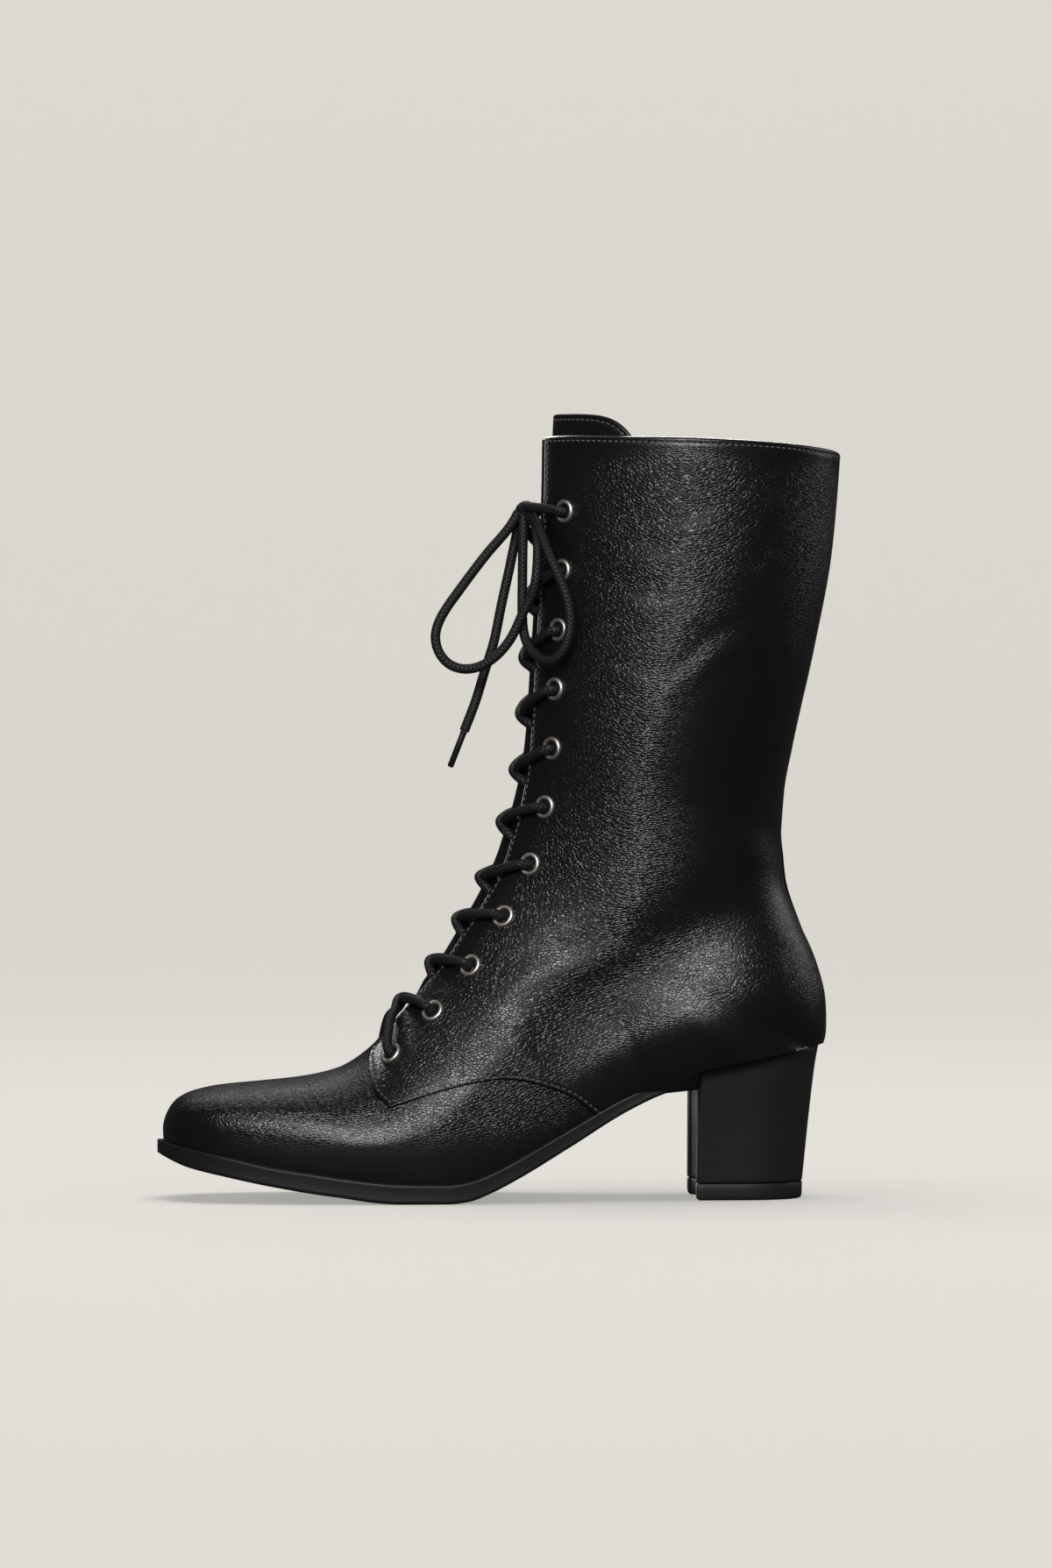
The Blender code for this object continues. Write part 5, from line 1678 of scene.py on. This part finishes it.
def make_lamps(floor):
    """Soft rectangular lights, each linked to what it lights, and a faint light from all round."""
    unlit = bpy.data.collections.new("unlit_floor")
    unlit.objects.link(floor)
    unlit.collection_objects[0].light_linking.link_state = "EXCLUDE"
    bpy.data.collections.new("lit_from_behind")
    for row in LAMPS:
        data = bpy.data.lights.new(row.name, "AREA")
        data.shape = "RECTANGLE"
        data.size, data.size_y = row.size
        data.energy = row.power
        lamp = add_object(row.name, data)
        lamp.location = row.place
        lamp.rotation_euler = (Vector(row.aim) - Vector(row.place)).to_track_quat("-Z", "Y").to_euler()
        lamp.visible_camera = False
        lamp.visible_glossy = row.mirrored
        if row.lights:
            lamp.light_linking.receiver_collection = bpy.data.collections[row.lights]
    world = bpy.data.worlds.new("studio")
    world.use_nodes = True
    background = world.node_tree.nodes["Background"]
    background.inputs["Color"].default_value = WORLD_COLOUR
    background.inputs["Strength"].default_value = WORLD_STRENGTH
    bpy.context.scene.world = world
    bpy.context.scene.view_settings.view_transform = "Standard"


def make_camera():
    """Level camera that looks at the boot's outer side."""
    data = bpy.data.cameras.new("photo_camera")
    data.lens = CAMERA_LENS
    data.sensor_width = SENSOR_LONG_SIDE
    data.clip_end = CAMERA_REACH
    camera = add_object("photo_camera", data)
    away = Vector((math.sin(CAMERA_AZIMUTH), -math.cos(CAMERA_AZIMUTH), 0.0))
    camera.location = Vector(CAMERA_AIM) + away * CAMERA_DISTANCE
    camera.rotation_euler = (-away).to_track_quat("-Z", "Y").to_euler()
    bpy.context.scene.camera = camera


class BOOT_OT_stage(bpy.types.Operator):
    """Make the floor, the lights and the camera"""

    bl_idname = "boot.stage"
    bl_label = "Stage"

    def execute(self, context):
        make_lamps(make_floor(context.scene.boot_colours.floor))
        make_camera()
        return {"FINISHED"}


class BOOT_OT_bow(bpy.types.Operator):
    """Make the bow: knot, loops, ends and their tips"""

    bl_idname = "boot.bow"
    bl_label = "Bow"

    def execute(self, context):
        make_bow(context.scene.boot_sizes)
        return {"FINISHED"}


class BOOT_OT_vamp(bpy.types.Operator):
    """Make the vamp from the toe to under the quarters"""

    bl_idname = "boot.vamp"
    bl_label = "Vamp"

    def execute(self, context):
        make_vamp()
        return {"FINISHED"}


class BOOT_OT_quarters(bpy.types.Operator):
    """Make the two quarters with their creases and rounded edges"""

    bl_idname = "boot.quarters"
    bl_label = "Quarters"

    def execute(self, context):
        make_quarters(context.scene.boot_sizes)
        return {"FINISHED"}


class BOOT_OT_tongue(bpy.types.Operator):
    """Make the tongue and finish the insole"""

    bl_idname = "boot.tongue"
    bl_label = "Tongue and insole"

    def execute(self, context):
        make_tongue()
        make_insole()
        return {"FINISHED"}


class BOOT_OT_sole(bpy.types.Operator):
    """Make the outsole, the heel block and its top lift"""

    bl_idname = "boot.sole"
    bl_label = "Sole and heel"

    def execute(self, context):
        make_outsole()
        make_heel()
        make_top_lift()
        return {"FINISHED"}


class BOOT_OT_eyelets(bpy.types.Operator):
    """Make the eyelets of both quarters"""

    bl_idname = "boot.eyelets"
    bl_label = "Eyelets"

    def execute(self, context):
        make_eyelets(context.scene.boot_sizes)
        return {"FINISHED"}


class BOOT_OT_lacing(bpy.types.Operator):
    """Run the lace through the eyelets and across the throat"""

    bl_idname = "boot.lacing"
    bl_label = "Lacing"

    def execute(self, context):
        make_lacing(context.scene.boot_sizes)
        return {"FINISHED"}


class BOOT_OT_stitching(bpy.types.Operator):
    """Sew the rows of stitches along the quarters' edges"""

    bl_idname = "boot.stitching"
    bl_label = "Stitching"

    def execute(self, context):
        make_stitching(context.scene.boot_sizes)
        return {"FINISHED"}


OPERATORS = (
    BOOT_OT_stage,
    BOOT_OT_bow,
    BOOT_OT_vamp,
    BOOT_OT_quarters,
    BOOT_OT_tongue,
    BOOT_OT_sole,
    BOOT_OT_eyelets,
    BOOT_OT_lacing,
    BOOT_OT_stitching,
)


class BOOT_PT_panel(bpy.types.Panel):
    """Lists the boot's pieces and the sizes and colours that they use"""

    bl_idname = "BOOT_PT_panel"
    bl_label = "Lace-up boot"
    bl_space_type = "VIEW_3D"
    bl_region_type = "UI"
    bl_category = "Boot"

    def draw(self, context):
        """One button for each operator, then the properties."""
        for operator in OPERATORS:
            self.layout.operator(operator.bl_idname)
        for group in (context.scene.boot_sizes, context.scene.boot_colours):
            for name in group.__annotations__:
                self.layout.prop(group, name)


CLASSES = (BootSizes, BootColours, *OPERATORS, BOOT_PT_panel)


def register():
    """Adds the classes, and the properties to the scene."""
    for cls in CLASSES:
        bpy.utils.register_class(cls)
    bpy.types.Scene.boot_sizes = bpy.props.PointerProperty(type=BootSizes)
    bpy.types.Scene.boot_colours = bpy.props.PointerProperty(type=BootColours)


def unregister():
    """Takes the properties and the classes away again."""
    del bpy.types.Scene.boot_colours
    del bpy.types.Scene.boot_sizes
    for cls in reversed(CLASSES):
        bpy.utils.unregister_class(cls)


def main():
    """Makes every piece in its order."""
    register()
    bpy.ops.boot.stage()
    bpy.ops.boot.bow()
    bpy.ops.boot.vamp()
    bpy.ops.boot.quarters()
    bpy.ops.boot.tongue()
    bpy.ops.boot.sole()
    bpy.ops.boot.eyelets()
    bpy.ops.boot.lacing()
    bpy.ops.boot.stitching()
    boxes = {"cad": CAD_BOX, "visual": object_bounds()}
    plain = {
        name: [[float(value) for value in corner] for corner in box] for name, box in boxes.items()
    }


if __name__ == "__main__":
    main()
